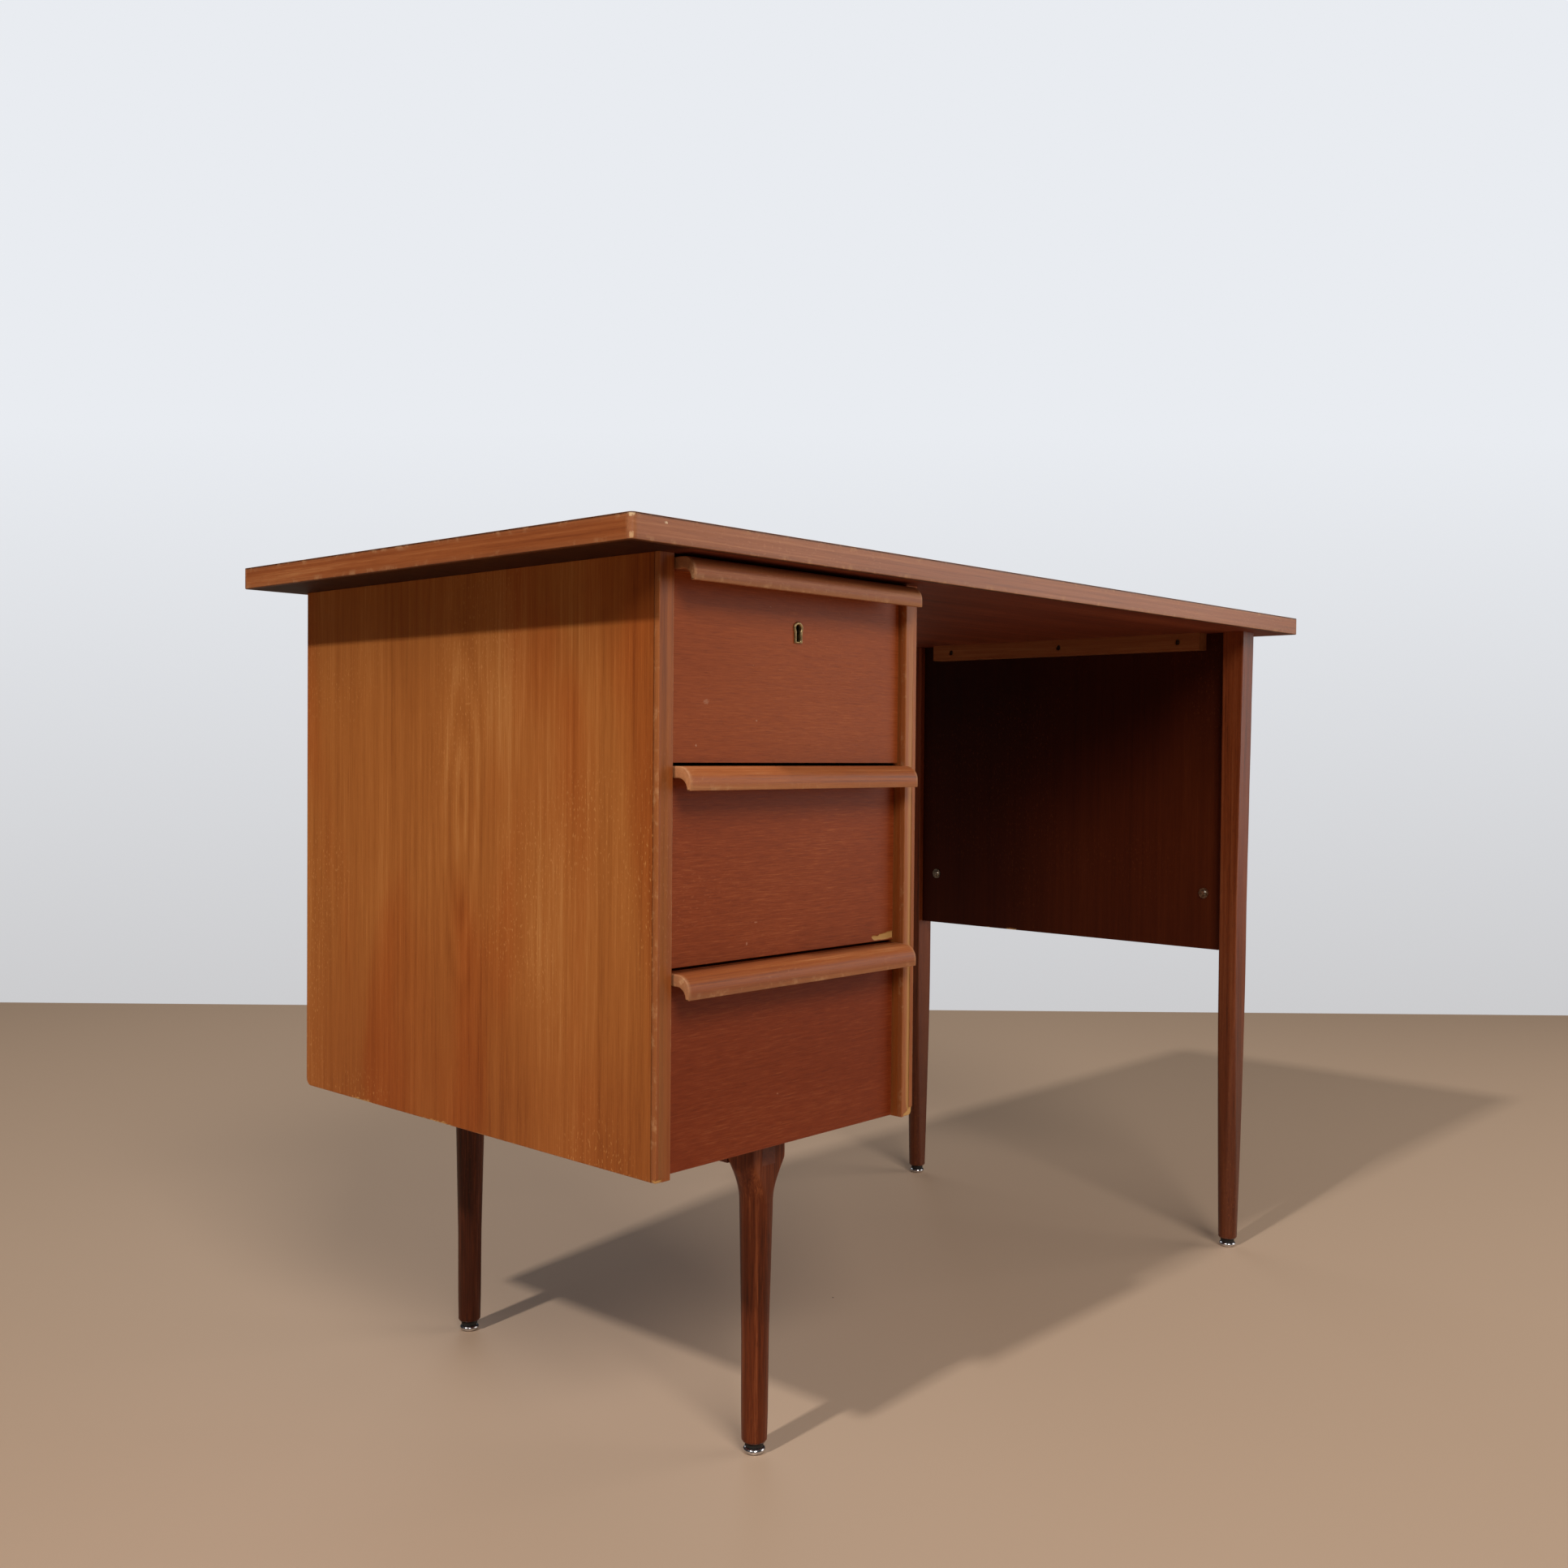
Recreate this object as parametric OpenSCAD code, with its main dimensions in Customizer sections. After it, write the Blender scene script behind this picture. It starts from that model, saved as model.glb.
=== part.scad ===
// Writing desk with a three-drawer pedestal on the left and an end panel between two legs on the right.
// Millimetres, +Z up. The origin is on the floor below the middle of the desktop, and the front faces -Y.

/* [Desktop] */
// length of the desktop, left to right
desk_l = 1062; // [860:2:1500]
// depth of the desktop, front to back
desk_d = 531.5; // [524:0.5:620]
// height of the writing surface above the floor
desk_h = 745; // [700:1:900]
// thickness of the desktop, veneer included
top_t = 19; // [16:0.5:25]
// thickness of the veneer sheet on top
veneer_t = 0.8; // [0.5:0.1:1.5]
// width of the edge bands
band_w = 5; // [3:0.5:10]
// radius of the desktop's upright corners
corner_r = 4; // [1:0.5:8]

/* [Pedestal] */
// overhang of the desktop past the pedestal's left side
inset_left = 56; // [20:1:100]
// overhang of the desktop past the right legs
inset_right = 59.5; // [20:0.5:100]
// overhang of the desktop past the pedestal's front
inset_front = 32; // [28:1:40]
// width of the pedestal
ped_w = 306; // [250:1:380]
// depth of the pedestal
ped_d = 484; // [470:1:490]
// height of the pedestal
ped_h = 463; // [420:1:500]
// thickness of the side panels
side_t = 15; // [14:0.5:20]
// width of the solid lipping on each side panel's front edge
lip_w = 5; // [3:0.5:12]
// radius on the lower back corner of the side panels
side_r = 7; // [2:0.5:10]
// thickness of the bottom panel
bottom_t = 15; // [12:0.5:16]
// thickness of the back panel
back_t = 8; // [5:0.5:12]

/* [Drawers] */
// how far the drawer fronts sit behind the side panels' front edges
front_recess = 10; // [5:0.5:16]
// how far the top drawer's front stands ahead of the other two
top_proud = 3; // [0:0.5:4]
// thickness of a drawer front
front_t = 16; // [15:0.5:20]
// gap on each side of a drawer front
front_side_gap = 2; // [1:0.1:3]
// gap between two drawer fronts
front_gap = 2.5; // [1.5:0.1:4]
// gap between the top drawer front and the desktop
gap_top = 2.5; // [1.5:0.1:4]
// how far the bottom drawer front stops above the side panels' lower edge
gap_bottom = 1; // [0.5:0.1:4]
// length of a drawer side behind the front
box_d = 430; // [330:1:434]
// height of a drawer side
box_h = 108; // [90:1:110]
// height of a drawer side's lower edge above the front's lower edge
box_lift = 18; // [17:0.5:20]
// thickness of a drawer side
box_t = 11; // [10:0.5:14]
// thickness of a drawer's back
box_back_t = 10; // [8:0.5:12]
// thickness of a drawer's bottom
ply_t = 4; // [3:0.5:5]
// how far a drawer pulls out
travel = 330; // [200:5:340]

/* [Pulls] */
// how far a pull stands out from the drawer front
pull_out = 26; // [22:0.5:32]
// height of a pull at its lip
pull_h = 18; // [16:0.5:24]
// thickness of a pull where it leaves the drawer front
pull_root = 9; // [7:0.5:12]
// thickness of the lip
pull_lip = 3.8; // [3:0.1:5]
// radius of the rounded upper edge
pull_r = 12; // [6:0.5:14]

/* [Runners] */
// height of a runner
runner_h = 10; // [8:0.5:12]
// how deep a runner reaches into the drawer side's groove
runner_in = 5; // [3:0.5:6]
// gap above and below a runner in its groove
runner_gap = 0.4; // [0.2:0.05:0.8]
// gap between a runner's face and the bottom of its groove
runner_face_gap = 1; // [0.5:0.1:1.5]
// distance from the drawer front to the closed end of the groove
groove_stop = 14; // [8:1:30]
// gap left at the stop when a drawer is closed
stop_gap = 0.5; // [0.3:0.1:1]

/* [Lock] */
// how far the lock sits to the right of the drawer's middle
lock_dx = 5.5; // [-40:0.5:40]
// depth of the key pin below the top edge of the drawer front
key_down = 43.5; // [41:0.5:46]
// diameter of the keyhole's round part
key_d = 6; // [5:0.1:7]
// width of the keyhole's slot
key_slot_w = 4.4; // [3:0.1:4.6]
// lower end of the keyhole's slot below the pin
key_slot_down = 10.4; // [8:0.5:12]
// thickness of the escutcheon's wall
key_rim = 2; // [1.5:0.1:3]
// width of the lock's plate
lock_w = 60; // [50:1:70]
// height of the lock's plate
lock_h = 56; // [56:1:62]
// width of the lock's case
case_w = 38; // [32:1:44]
// width of the lock's bolt
bolt_w = 20; // [14:0.5:24]
// thickness of the lock's bolt
bolt_t = 4; // [3:0.25:5]
// height of the lock's bolt
bolt_h = 32; // [26:1:32]
// how far the bolt rises
bolt_travel = 7.5; // [5:0.5:9]
// gap on each side of the bolt
bolt_gap = 0.3; // [0.3:0.05:0.5]

/* [Pedestal legs] */
// diameter of a pedestal leg under its flared head
leg_d_top = 28; // [24:0.5:34]
// diameter of every leg at the floor
leg_d_foot = 21.4; // [18:0.2:24]
// width of a pedestal leg's head
head_w = 40; // [36:1:60]
// depth of a pedestal leg's head, front to back
head_d = 28; // [24:0.5:34]
// height of a pedestal leg's head and its curve
head_h = 52; // [44:1:70]
// distance from the pedestal's middle to its legs' middle, to the right
leg_dx = 2; // [-10:0.5:10]
// distance from the pedestal's front or back to the leg's middle
leg_in = 45; // [30:1:70]
// thickness of the rail between the pedestal legs
rail_t = 21; // [16:0.5:26]
// width of the rail's tenons
tenon_w = 15.5; // [10:0.5:18]

/* [Right end] */
// width of a right leg, left to right
rleg_w = 27; // [24:0.5:34]
// depth of a right leg, front to back
rleg_d = 21.5; // [20:0.5:28]
// extra depth of a right leg at the desktop
rleg_swell = 4; // [0:0.5:8]
// overhang of the desktop past the front right leg
rleg_front = 30.5; // [28:0.5:60]
// overhang of the desktop past the back right leg
rleg_back = 14; // [8:0.5:40]
// height at which a right leg's taper begins
taper_z = 345; // [200:5:420]
// thickness of the end panel
panel_t = 12; // [11.5:0.5:16]
// height of the end panel
panel_h = 375.6; // [300:0.2:420]
// width of each cleat
cleat_w = 18; // [14:0.5:22]
// height of each cleat
cleat_h = 20; // [16:0.5:22]
// length of each cleat
cleat_l = 391; // [300:1:400]
// distance from the desktop's front edge to each cleat
cleat_y = 77; // [70:1:90]
// height of the connector nuts above the end panel's lower edge
nut_up = 66.5; // [30:0.5:120]
// distance from a connector nut to the leg beside it
nut_in = 24; // [16:0.5:40]

/* [Glides] */
// diameter of a glide
glide_d = 18.8; // [14:0.2:20]
// height of a glide
glide_h = 5.5; // [4:0.25:8]
// diameter of a glide's collar
collar_d = 15.5; // [10:0.5:18]
// height of a glide's collar
collar_h = 4.5; // [2:0.25:6]
// diameter of a glide's pin
pin_d = 3; // [2:0.1:5]

/* [Hidden] */
$fn = 64;
hl = desk_l / 2;
hd = desk_d / 2;
under_z = desk_h - top_t;
ped_x0 = -hl + inset_left;
ped_x1 = ped_x0 + ped_w;
ped_y0 = -hd + inset_front;
ped_y1 = ped_y0 + ped_d;
ped_z0 = under_z - ped_h;
ped_cx = (ped_x0 + ped_x1) / 2;
leg_x = ped_cx + leg_dx;
in_x0 = ped_x0 + side_t;
in_x1 = ped_x1 - side_t;
in_w = ped_w - 2 * side_t;
back_y0 = ped_y1 - back_t;
front_w = in_w - 2 * front_side_gap;
front_x0 = in_x0 + front_side_gap;
front_x1 = front_x0 + front_w;
front_h = (ped_h - gap_top - gap_bottom - 2 * front_gap) / 3;
tail_l = 10;
tail_n = 3;
ply_up = 6;
ply_in = 5;
dado = 4;
back_in = 10;
groove_d = runner_in + runner_face_gap;
runner_w = front_side_gap + runner_in;
runner_y1 = back_y0 - 2;
rs_d = 3.4;
rs_head = 6.4;
rs_l = 18;
cs_d = 4;
cs_head = 7;
cs_sink = 3;
cs_in = 8;
ds_in = 12;
cleat_y0 = -hd + cleat_y;
cleat_screw_at = [28.5, 194.5, 362];
desk_screw_at = [80, 320];
lock_x = ped_cx + lock_dx;
lock_top = ped_z0 + gap_bottom + 3 * front_h + 2 * front_gap;
lock_depth = 10;
plate_t = 1.6;
lock_y0 = front_y1(2) - lock_depth;
bolt_y = lock_y0 + 4.6;
bolt_sink = 0.5;
strike_w = 40;
strike_d = 12;
strike_t = 1.5;
strike_slot = 1.5;
rim_out = 1.5;
leg_z0 = glide_h + collar_h;
leg_y_front = ped_y0 + leg_in;
leg_y_back = ped_y1 - leg_in;
head_z0 = ped_z0 - head_h;
rleg_x1 = hl - inset_right;
rleg_x0 = rleg_x1 - rleg_w;
rleg_cx = (rleg_x0 + rleg_x1) / 2;
rfront_y0 = -hd + rleg_front;
rback_y1 = hd - rleg_back;
foot_in = rleg_d / 2 + 1.25;
panel_x0 = rleg_cx - panel_t / 2;
panel_y0 = rfront_y0 + rleg_d;
panel_y1 = rback_y1 - rleg_d;
panel_z0 = under_z - panel_h;
nut_z = panel_z0 + nut_up;
dowel_d = 8;
dowel_l = 32;
dowel_at = [130, 310];
top_dowel_d = 10;
top_dowel_leg = 16;
top_dowel_top = 12;
con_d = 6;
con_in = 14;
nut_d = 10;
pin_up = 22;

teak = [0.60, 0.36, 0.18];
teak_dark = [0.34, 0.16, 0.08];
teak_pale = [0.66, 0.43, 0.28];
beech = [0.78, 0.62, 0.44];
steel = [0.70, 0.70, 0.72];
brass = [0.78, 0.62, 0.28];
black = [0.05, 0.05, 0.05];

// ---- helpers ----

// lower edge of drawer front i, counted from the bottom
function front_z(i) = ped_z0 + gap_bottom + i * (front_h + front_gap);

// front and back planes of drawer front i, and the back end of its sides
function front_y0(i) = ped_y0 + front_recess - (i == 2 ? top_proud : 0);
function front_y1(i) = front_y0(i) + front_t;
function box_y1(i) = front_y1(i) + box_d;

// closed end of drawer i's grooves, and the front end of its runners
function groove_y0(i) = front_y1(i) + groove_stop;
function runner_y0(i) = groove_y0(i) + stop_gap;

// middle height of drawer i's runners
function runner_z(i) = front_z(i) + box_lift + box_h / 2;

module slab(l, d, h, r) {
    translate([-l / 2, -d / 2 + r, 0])
        cube([l, d - 2 * r, h]);
    translate([-l / 2 + r, -d / 2, 0])
        cube([l - 2 * r, d, h]);
    for (sx = [-1, 1], sy = [-1, 1])
        translate([sx * (l / 2 - r), sy * (d / 2 - r), 0])
            cylinder(h = h, r = r);
}

// countersunk wood screw, head at the origin, pointing to -Z
module wood_screw(d, head, l) {
    translate([0, 0, -l])
        cylinder(h = l, d = d);
    translate([0, 0, -(head - d) / 2])
        cylinder(h = (head - d) / 2, d1 = d, d2 = head);
}

// ---- desktop ----

// a strip of the desktop under the veneer, cut to the rounded outline
module desktop_strip(x, y, l, d) {
    intersection() {
        translate([0, 0, under_z])
            slab(desk_l, desk_d, top_t - veneer_t, corner_r);
        translate([x, y, under_z])
            cube([l, d, top_t]);
    }
}

module desktop_core() {
    color(teak)
    difference() {
        translate([-hl + band_w, -hd + band_w, under_z])
            cube([desk_l - 2 * band_w, desk_d - 2 * band_w, top_t - veneer_t]);
        strike_recess();
        striker_screw_set();
        desktop_screw_set();
        leg_top_dowel_set();
    }
}

module desktop_top_veneer() {
    color(teak)
    translate([0, 0, desk_h - veneer_t])
        slab(desk_l, desk_d, veneer_t, corner_r);
}

module desktop_front_band() {
    color(teak)
    desktop_strip(-hl, -hd, desk_l, band_w);
}

module desktop_back_band() {
    color(teak)
    desktop_strip(-hl, hd - band_w, desk_l, band_w);
}

module desktop_left_band() {
    color(teak)
    desktop_strip(-hl, -hd + band_w, band_w, desk_d - 2 * band_w);
}

module desktop_right_band() {
    color(teak)
    desktop_strip(hl - band_w, -hd + band_w, band_w, desk_d - 2 * band_w);
}

// ---- pedestal carcase ----

// side panel outline with the round lower back corner, from its front edge at y0
module side_blank(x0, y0, y1) {
    translate([x0, y0, ped_z0])
        cube([side_t, y1 - y0 - side_r, ped_h]);
    translate([x0, y0, ped_z0 + side_r])
        cube([side_t, y1 - y0, ped_h - side_r]);
    translate([x0, y1 - side_r, ped_z0 + side_r])
        rotate([0, 90, 0])
            cylinder(h = side_t, r = side_r);
}

module pedestal_left_side() {
    color(teak)
    difference() {
        side_blank(ped_x0, ped_y0 + lip_w, ped_y1);
        runner_screw_set();
        cleat_screw_set();
    }
}

module pedestal_right_side() {
    color(teak)
    difference() {
        side_blank(in_x1, ped_y0 + lip_w, ped_y1);
        runner_screw_set();
        cleat_screw_set();
    }
}

module pedestal_left_lipping() {
    color(teak_pale)
    translate([ped_x0, ped_y0, ped_z0])
        cube([side_t, lip_w, ped_h]);
}

module pedestal_right_lipping() {
    color(teak_pale)
    translate([in_x1, ped_y0, ped_z0])
        cube([side_t, lip_w, ped_h]);
}

module pedestal_bottom() {
    color(teak_dark)
    difference() {
        translate([in_x0, front_y1(0) + 2, ped_z0])
            cube([in_w, back_y0 - front_y1(0) - 2, bottom_t]);
        rail_screw_set();
    }
}

module pedestal_back() {
    color(teak)
    translate([in_x0, back_y0, ped_z0])
        cube([in_w, back_t, ped_h]);
}

// ---- cleats and their screws ----

module cleat_blank(x0) {
    translate([x0, cleat_y0, under_z - cleat_h])
        cube([cleat_w, cleat_l, cleat_h]);
}

module cleat(x0) {
    color(beech)
    difference() {
        cleat_blank(x0);
        cleat_screw_set();
        cleat_sinks();
        desktop_screw_set();
    }
}

module pedestal_left_cleat() {
    cleat(in_x0);
}

module pedestal_right_cleat() {
    cleat(in_x1 - cleat_w);
}

module end_panel_cleat() {
    cleat(panel_x0 - cleat_w);
}

// one screw from a cleat's free face at x, going towards side s
module cleat_screw(x, y, s) {
    translate([x + s * cs_sink, y, under_z - cleat_h / 2])
        rotate([0, -90 * s, 0])
            wood_screw(cs_d, cs_head, cleat_w - cs_sink + cs_in);
}

module cleat_sink(x, y, s) {
    translate([s > 0 ? x - 1 : x - cs_sink, y, under_z - cleat_h / 2])
        rotate([0, 90, 0])
            cylinder(h = cs_sink + 1, d = cs_head);
}

module cleat_screw_set() {
    for (a = cleat_screw_at) {
        cleat_screw(in_x0 + cleat_w, cleat_y0 + a, -1);
        cleat_screw(in_x1 - cleat_w, cleat_y0 + a, 1);
        cleat_screw(panel_x0 - cleat_w, cleat_y0 + a, 1);
    }
}

module cleat_sinks() {
    for (a = cleat_screw_at) {
        cleat_sink(in_x0 + cleat_w, cleat_y0 + a, -1);
        cleat_sink(in_x1 - cleat_w, cleat_y0 + a, 1);
        cleat_sink(panel_x0 - cleat_w, cleat_y0 + a, 1);
    }
}

module desktop_screw_set() {
    for (x = [in_x0, in_x1 - cleat_w, panel_x0 - cleat_w], a = desk_screw_at)
        translate([x + cleat_w / 2, cleat_y0 + a, under_z - cleat_h])
            rotate([180, 0, 0])
                wood_screw(cs_d, cs_head, cleat_h + ds_in);
}

module cleat_screws() {
    color(steel)
    cleat_screw_set();
}

module desktop_screws() {
    color(steel)
    desktop_screw_set();
}

// ---- runners ----

module runner_pair(i) {
    color(beech)
    difference() {
        for (x = [in_x0, in_x1 - runner_w])
            translate([x, runner_y0(i), runner_z(i) - runner_h / 2])
                cube([runner_w, runner_y1 - runner_y0(i), runner_h]);
        runner_screw_set();
    }
}

module top_drawer_runners() {
    runner_pair(2);
}

module middle_drawer_runners() {
    runner_pair(1);
}

module bottom_drawer_runners() {
    runner_pair(0);
}

module runner_screw_set() {
    for (i = [0:2], y = [runner_y0(i) + 60, runner_y1 - 60]) {
        translate([in_x0 + runner_w, y, runner_z(i)])
            rotate([0, 90, 0])
                wood_screw(rs_d, rs_head, rs_l);
        translate([in_x1 - runner_w, y, runner_z(i)])
            rotate([0, -90, 0])
                wood_screw(rs_d, rs_head, rs_l);
    }
}

module runner_screws() {
    color(steel)
    runner_screw_set();
}

// ---- pedestal legs ----

module leg_turning() {
    rotate_extrude()
        polygon([
            [0, leg_z0],
            [leg_d_foot / 2 - 1, leg_z0],
            [leg_d_foot / 2, leg_z0 + 1.5],
            [leg_d_foot / 2 + (leg_d_top - leg_d_foot) * 0.15, leg_z0 + 25],
            [leg_d_foot / 2 + (leg_d_top - leg_d_foot) * 0.25, leg_z0 + 90],
            [leg_d_top / 2, head_z0],
            [0, head_z0],
        ]);
}

// head of a leg: a block whose corners are cut back by a turned flare
module leg_head() {
    corner = sqrt(pow(head_w, 2) + pow(head_d, 2)) / 2;
    flare_h = head_h * 0.7;
    intersection() {
        translate([-head_w / 2, -head_d / 2, head_z0])
            cube([head_w, head_d, head_h]);
        rotate_extrude()
            polygon(concat(
                [[0, head_z0]],
                [for (t = [0:0.1:1.001])
                    [leg_d_top / 2 + (corner - leg_d_top / 2) * pow(t, 1.8), head_z0 + t * flare_h]],
                [[corner + 1, head_z0 + flare_h], [corner + 1, ped_z0], [0, ped_z0]]
            ));
    }
}

module pedestal_leg(y) {
    color(teak_dark)
    difference() {
        translate([leg_x, y, 0]) {
            leg_turning();
            leg_head();
        }
        translate([leg_x - tenon_w / 2, y - head_d, ped_z0 - rail_t])
            cube([tenon_w, 2 * head_d, rail_t + 1]);
        glide_pin_set();
    }
}

module pedestal_front_leg() {
    pedestal_leg(leg_y_front);
}

module pedestal_back_leg() {
    pedestal_leg(leg_y_back);
}

module pedestal_leg_rail() {
    color(teak_dark)
    difference() {
        union() {
            translate([leg_x - head_w / 2, leg_y_front + head_d / 2, ped_z0 - rail_t])
                cube([head_w, leg_y_back - leg_y_front - head_d, rail_t]);
            translate([leg_x - tenon_w / 2, leg_y_front - head_d / 2, ped_z0 - rail_t])
                cube([tenon_w, leg_y_back - leg_y_front + head_d, rail_t]);
        }
        rail_screw_set();
    }
}

module rail_screw_set() {
    for (y = [leg_y_front + 55, (leg_y_front + leg_y_back) / 2, leg_y_back - 55])
        translate([leg_x, y, ped_z0 - rail_t])
            rotate([180, 0, 0])
                wood_screw(cs_d, cs_head, rail_t + 10);
}

module rail_screws() {
    color(steel)
    rail_screw_set();
}

// ---- right end ----

// right leg with its outer face at y_out, s = 1 for the front leg and -1 for the back leg
module right_leg_blank(y_out, s) {
    y_in = y_out + s * rleg_d;
    translate([rleg_x0, 0, 0])
        rotate([90, 0, 90])
            linear_extrude(height = rleg_w)
                polygon([
                    [y_out, leg_z0],
                    [y_in, leg_z0],
                    [y_in, under_z],
                    [y_out - s * rleg_swell, under_z],
                    [y_out, under_z - 320],
                ]);
}

module right_leg_taper(y_foot) {
    far = sqrt(pow(rleg_w / 2, 2) + pow(foot_in, 2)) + 0.5;
    translate([rleg_cx, y_foot, leg_z0])
        cylinder(h = 1.5, r1 = leg_d_foot / 2 - 1, r2 = leg_d_foot / 2);
    translate([rleg_cx, y_foot, leg_z0 + 1.5])
        cylinder(h = taper_z - leg_z0 - 1.5, r1 = leg_d_foot / 2, r2 = far);
    translate([rleg_x0 - 1, y_foot - 2 * rleg_d, taper_z])
        cube([rleg_w + 2, 4 * rleg_d, under_z - taper_z + 1]);
}

module right_leg(y_out, s) {
    color(teak_dark)
    difference() {
        intersection() {
            right_leg_blank(y_out, s);
            right_leg_taper(y_out + s * foot_in);
        }
        end_dowel_set();
        leg_top_dowel_set();
        connector_bolt_set();
        glide_pin_set();
    }
}

module right_front_leg() {
    right_leg(rfront_y0, 1);
}

module right_back_leg() {
    right_leg(rback_y1, -1);
}

module end_panel() {
    color(teak_dark)
    difference() {
        translate([panel_x0, panel_y0, panel_z0])
            cube([panel_t, panel_y1 - panel_y0, panel_h]);
        end_dowel_set();
        connector_bolt_set();
        connector_nut_barrels();
        cleat_screw_set();
    }
}

module end_dowel_set() {
    for (y = [panel_y0, panel_y1], z = dowel_at)
        translate([panel_x0 + panel_t / 2, y - dowel_l / 2, panel_z0 + z])
            rotate([-90, 0, 0])
                cylinder(h = dowel_l, d = dowel_d);
}

module end_panel_dowels() {
    color(beech)
    end_dowel_set();
}

module leg_top_dowel_set() {
    for (y = [rfront_y0 + rleg_d / 2, rback_y1 - rleg_d / 2])
        translate([rleg_cx, y, under_z - top_dowel_leg])
            cylinder(h = top_dowel_leg + top_dowel_top, d = top_dowel_d);
}

module leg_top_dowels() {
    color(beech)
    leg_top_dowel_set();
}

module connector_bolt_set() {
    translate([panel_x0 + panel_t / 2, panel_y0 - con_in, nut_z])
        rotate([-90, 0, 0])
            cylinder(h = con_in + nut_in + nut_d / 2 + 2, d = con_d);
    translate([panel_x0 + panel_t / 2, panel_y1 + con_in, nut_z])
        rotate([90, 0, 0])
            cylinder(h = con_in + nut_in + nut_d / 2 + 2, d = con_d);
}

module connector_bolts() {
    color(steel)
    connector_bolt_set();
}

module connector_nut_barrels() {
    for (y = [panel_y0 + nut_in, panel_y1 - nut_in])
        translate([panel_x0, y, nut_z])
            rotate([0, 90, 0])
                cylinder(h = panel_t - 1, d = nut_d);
}

module connector_nuts() {
    color(steel)
    difference() {
        union() {
            connector_nut_barrels();
            for (y = [panel_y0 + nut_in, panel_y1 - nut_in])
                translate([panel_x0, y, nut_z])
                    rotate([0, -90, 0]) {
                        cylinder(h = 1.2, d = 12.4);
                        translate([0, 0, 1.2])
                            cylinder(h = 1.6, d1 = 8, d2 = 5.5);
                    }
        }
        connector_bolt_set();
    }
}

// ---- glides ----

module at_each_foot() {
    for (p = [
        [leg_x, leg_y_front],
        [leg_x, leg_y_back],
        [rleg_cx, rfront_y0 + foot_in],
        [rleg_cx, rback_y1 - foot_in],
    ])
        translate([p[0], p[1], 0])
            children();
}

module glide_pin_set() {
    at_each_foot()
        translate([0, 0, glide_h])
            cylinder(h = collar_h + pin_up, d = pin_d);
}

module glide_discs() {
    color(steel)
    at_each_foot() {
        rotate_extrude()
            polygon([
                [0, 0],
                [glide_d / 2 - 3.2, 0],
                [glide_d / 2 - 1, 0.9],
                [glide_d / 2, 2.4],
                [glide_d / 2, 3.6],
                [glide_d / 2 - 0.8, 4.8],
                [glide_d / 2 - 2.2, glide_h],
                [0, glide_h],
            ]);
        translate([0, 0, glide_h - 1])
            cylinder(h = collar_h + pin_up + 1, d = pin_d);
    }
}

module glide_collars() {
    color(black)
    at_each_foot()
        difference() {
            translate([0, 0, glide_h])
                cylinder(h = collar_h, d = collar_d);
            translate([0, 0, glide_h - 1])
                cylinder(h = collar_h + 2, d = pin_d);
        }
}

// ---- drawers ----

// tails of a drawer side, x0 is the side's lower X face
module tails(i, x0) {
    pitch = box_h / tail_n;
    z0 = front_z(i) + box_lift;
    for (k = [0:tail_n - 1])
        translate([x0, 0, z0 + (k + 0.5) * pitch])
            rotate([90, 0, 90])
                linear_extrude(height = box_t)
                    polygon([
                        [front_y1(i), -pitch * 0.28],
                        [front_y1(i), pitch * 0.28],
                        [front_y1(i) - tail_l, pitch * 0.36],
                        [front_y1(i) - tail_l, -pitch * 0.36],
                    ]);
}

// groove for a drawer's bottom, in the front and both sides
module ply_slot(i) {
    translate([front_x0 + box_t - ply_in, front_y1(i) - 8, front_z(i) + box_lift + ply_up])
        cube([front_w - 2 * box_t + 2 * ply_in, box_d + 8 + 1, ply_t]);
}

module drawer_front(i) {
    color(teak)
    difference() {
        translate([front_x0, front_y0(i), front_z(i)])
            cube([front_w, front_t, front_h]);
        tails(i, front_x0);
        tails(i, front_x1 - box_t);
        ply_slot(i);
        if (i == 2) {
            lock_blank();
            lock_screw_set();
            key_shape(front_y0(2) - 1, lock_y0 + 1, key_d + 2 * key_rim, key_slot_w + 2 * key_rim, key_rim);
        }
    }
}

module drawer_side(i, left) {
    x0 = left ? front_x0 : front_x1 - box_t;
    z0 = front_z(i) + box_lift;
    xo = left ? front_x0 - 1 : front_x1 - groove_d;
    xd = left ? front_x0 + box_t - dado : front_x1 - box_t - 1;
    color(beech)
    difference() {
        union() {
            translate([x0, front_y1(i), z0])
                cube([box_t, box_d, box_h]);
            tails(i, x0);
        }
        translate([xo, groove_y0(i), runner_z(i) - runner_h / 2 - runner_gap])
            cube([groove_d + 1, box_d, runner_h + 2 * runner_gap]);
        ply_slot(i);
        translate([xd, box_y1(i) - back_in - box_back_t, z0 + ply_up + ply_t])
            cube([dado + 1, box_back_t, box_h]);
    }
}

module drawer_back(i) {
    color(beech)
    translate([
        front_x0 + box_t - dado,
        box_y1(i) - back_in - box_back_t,
        front_z(i) + box_lift + ply_up + ply_t,
    ])
        cube([front_w - 2 * box_t + 2 * dado, box_back_t, box_h - ply_up - ply_t - 8]);
}

module drawer_bottom(i) {
    color(beech)
    translate([front_x0 + box_t - ply_in, front_y1(i) - 7.5, front_z(i) + box_lift + ply_up])
        cube([front_w - 2 * box_t + 2 * ply_in, box_d + 7.5 - back_in + 4, ply_t]);
}

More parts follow.
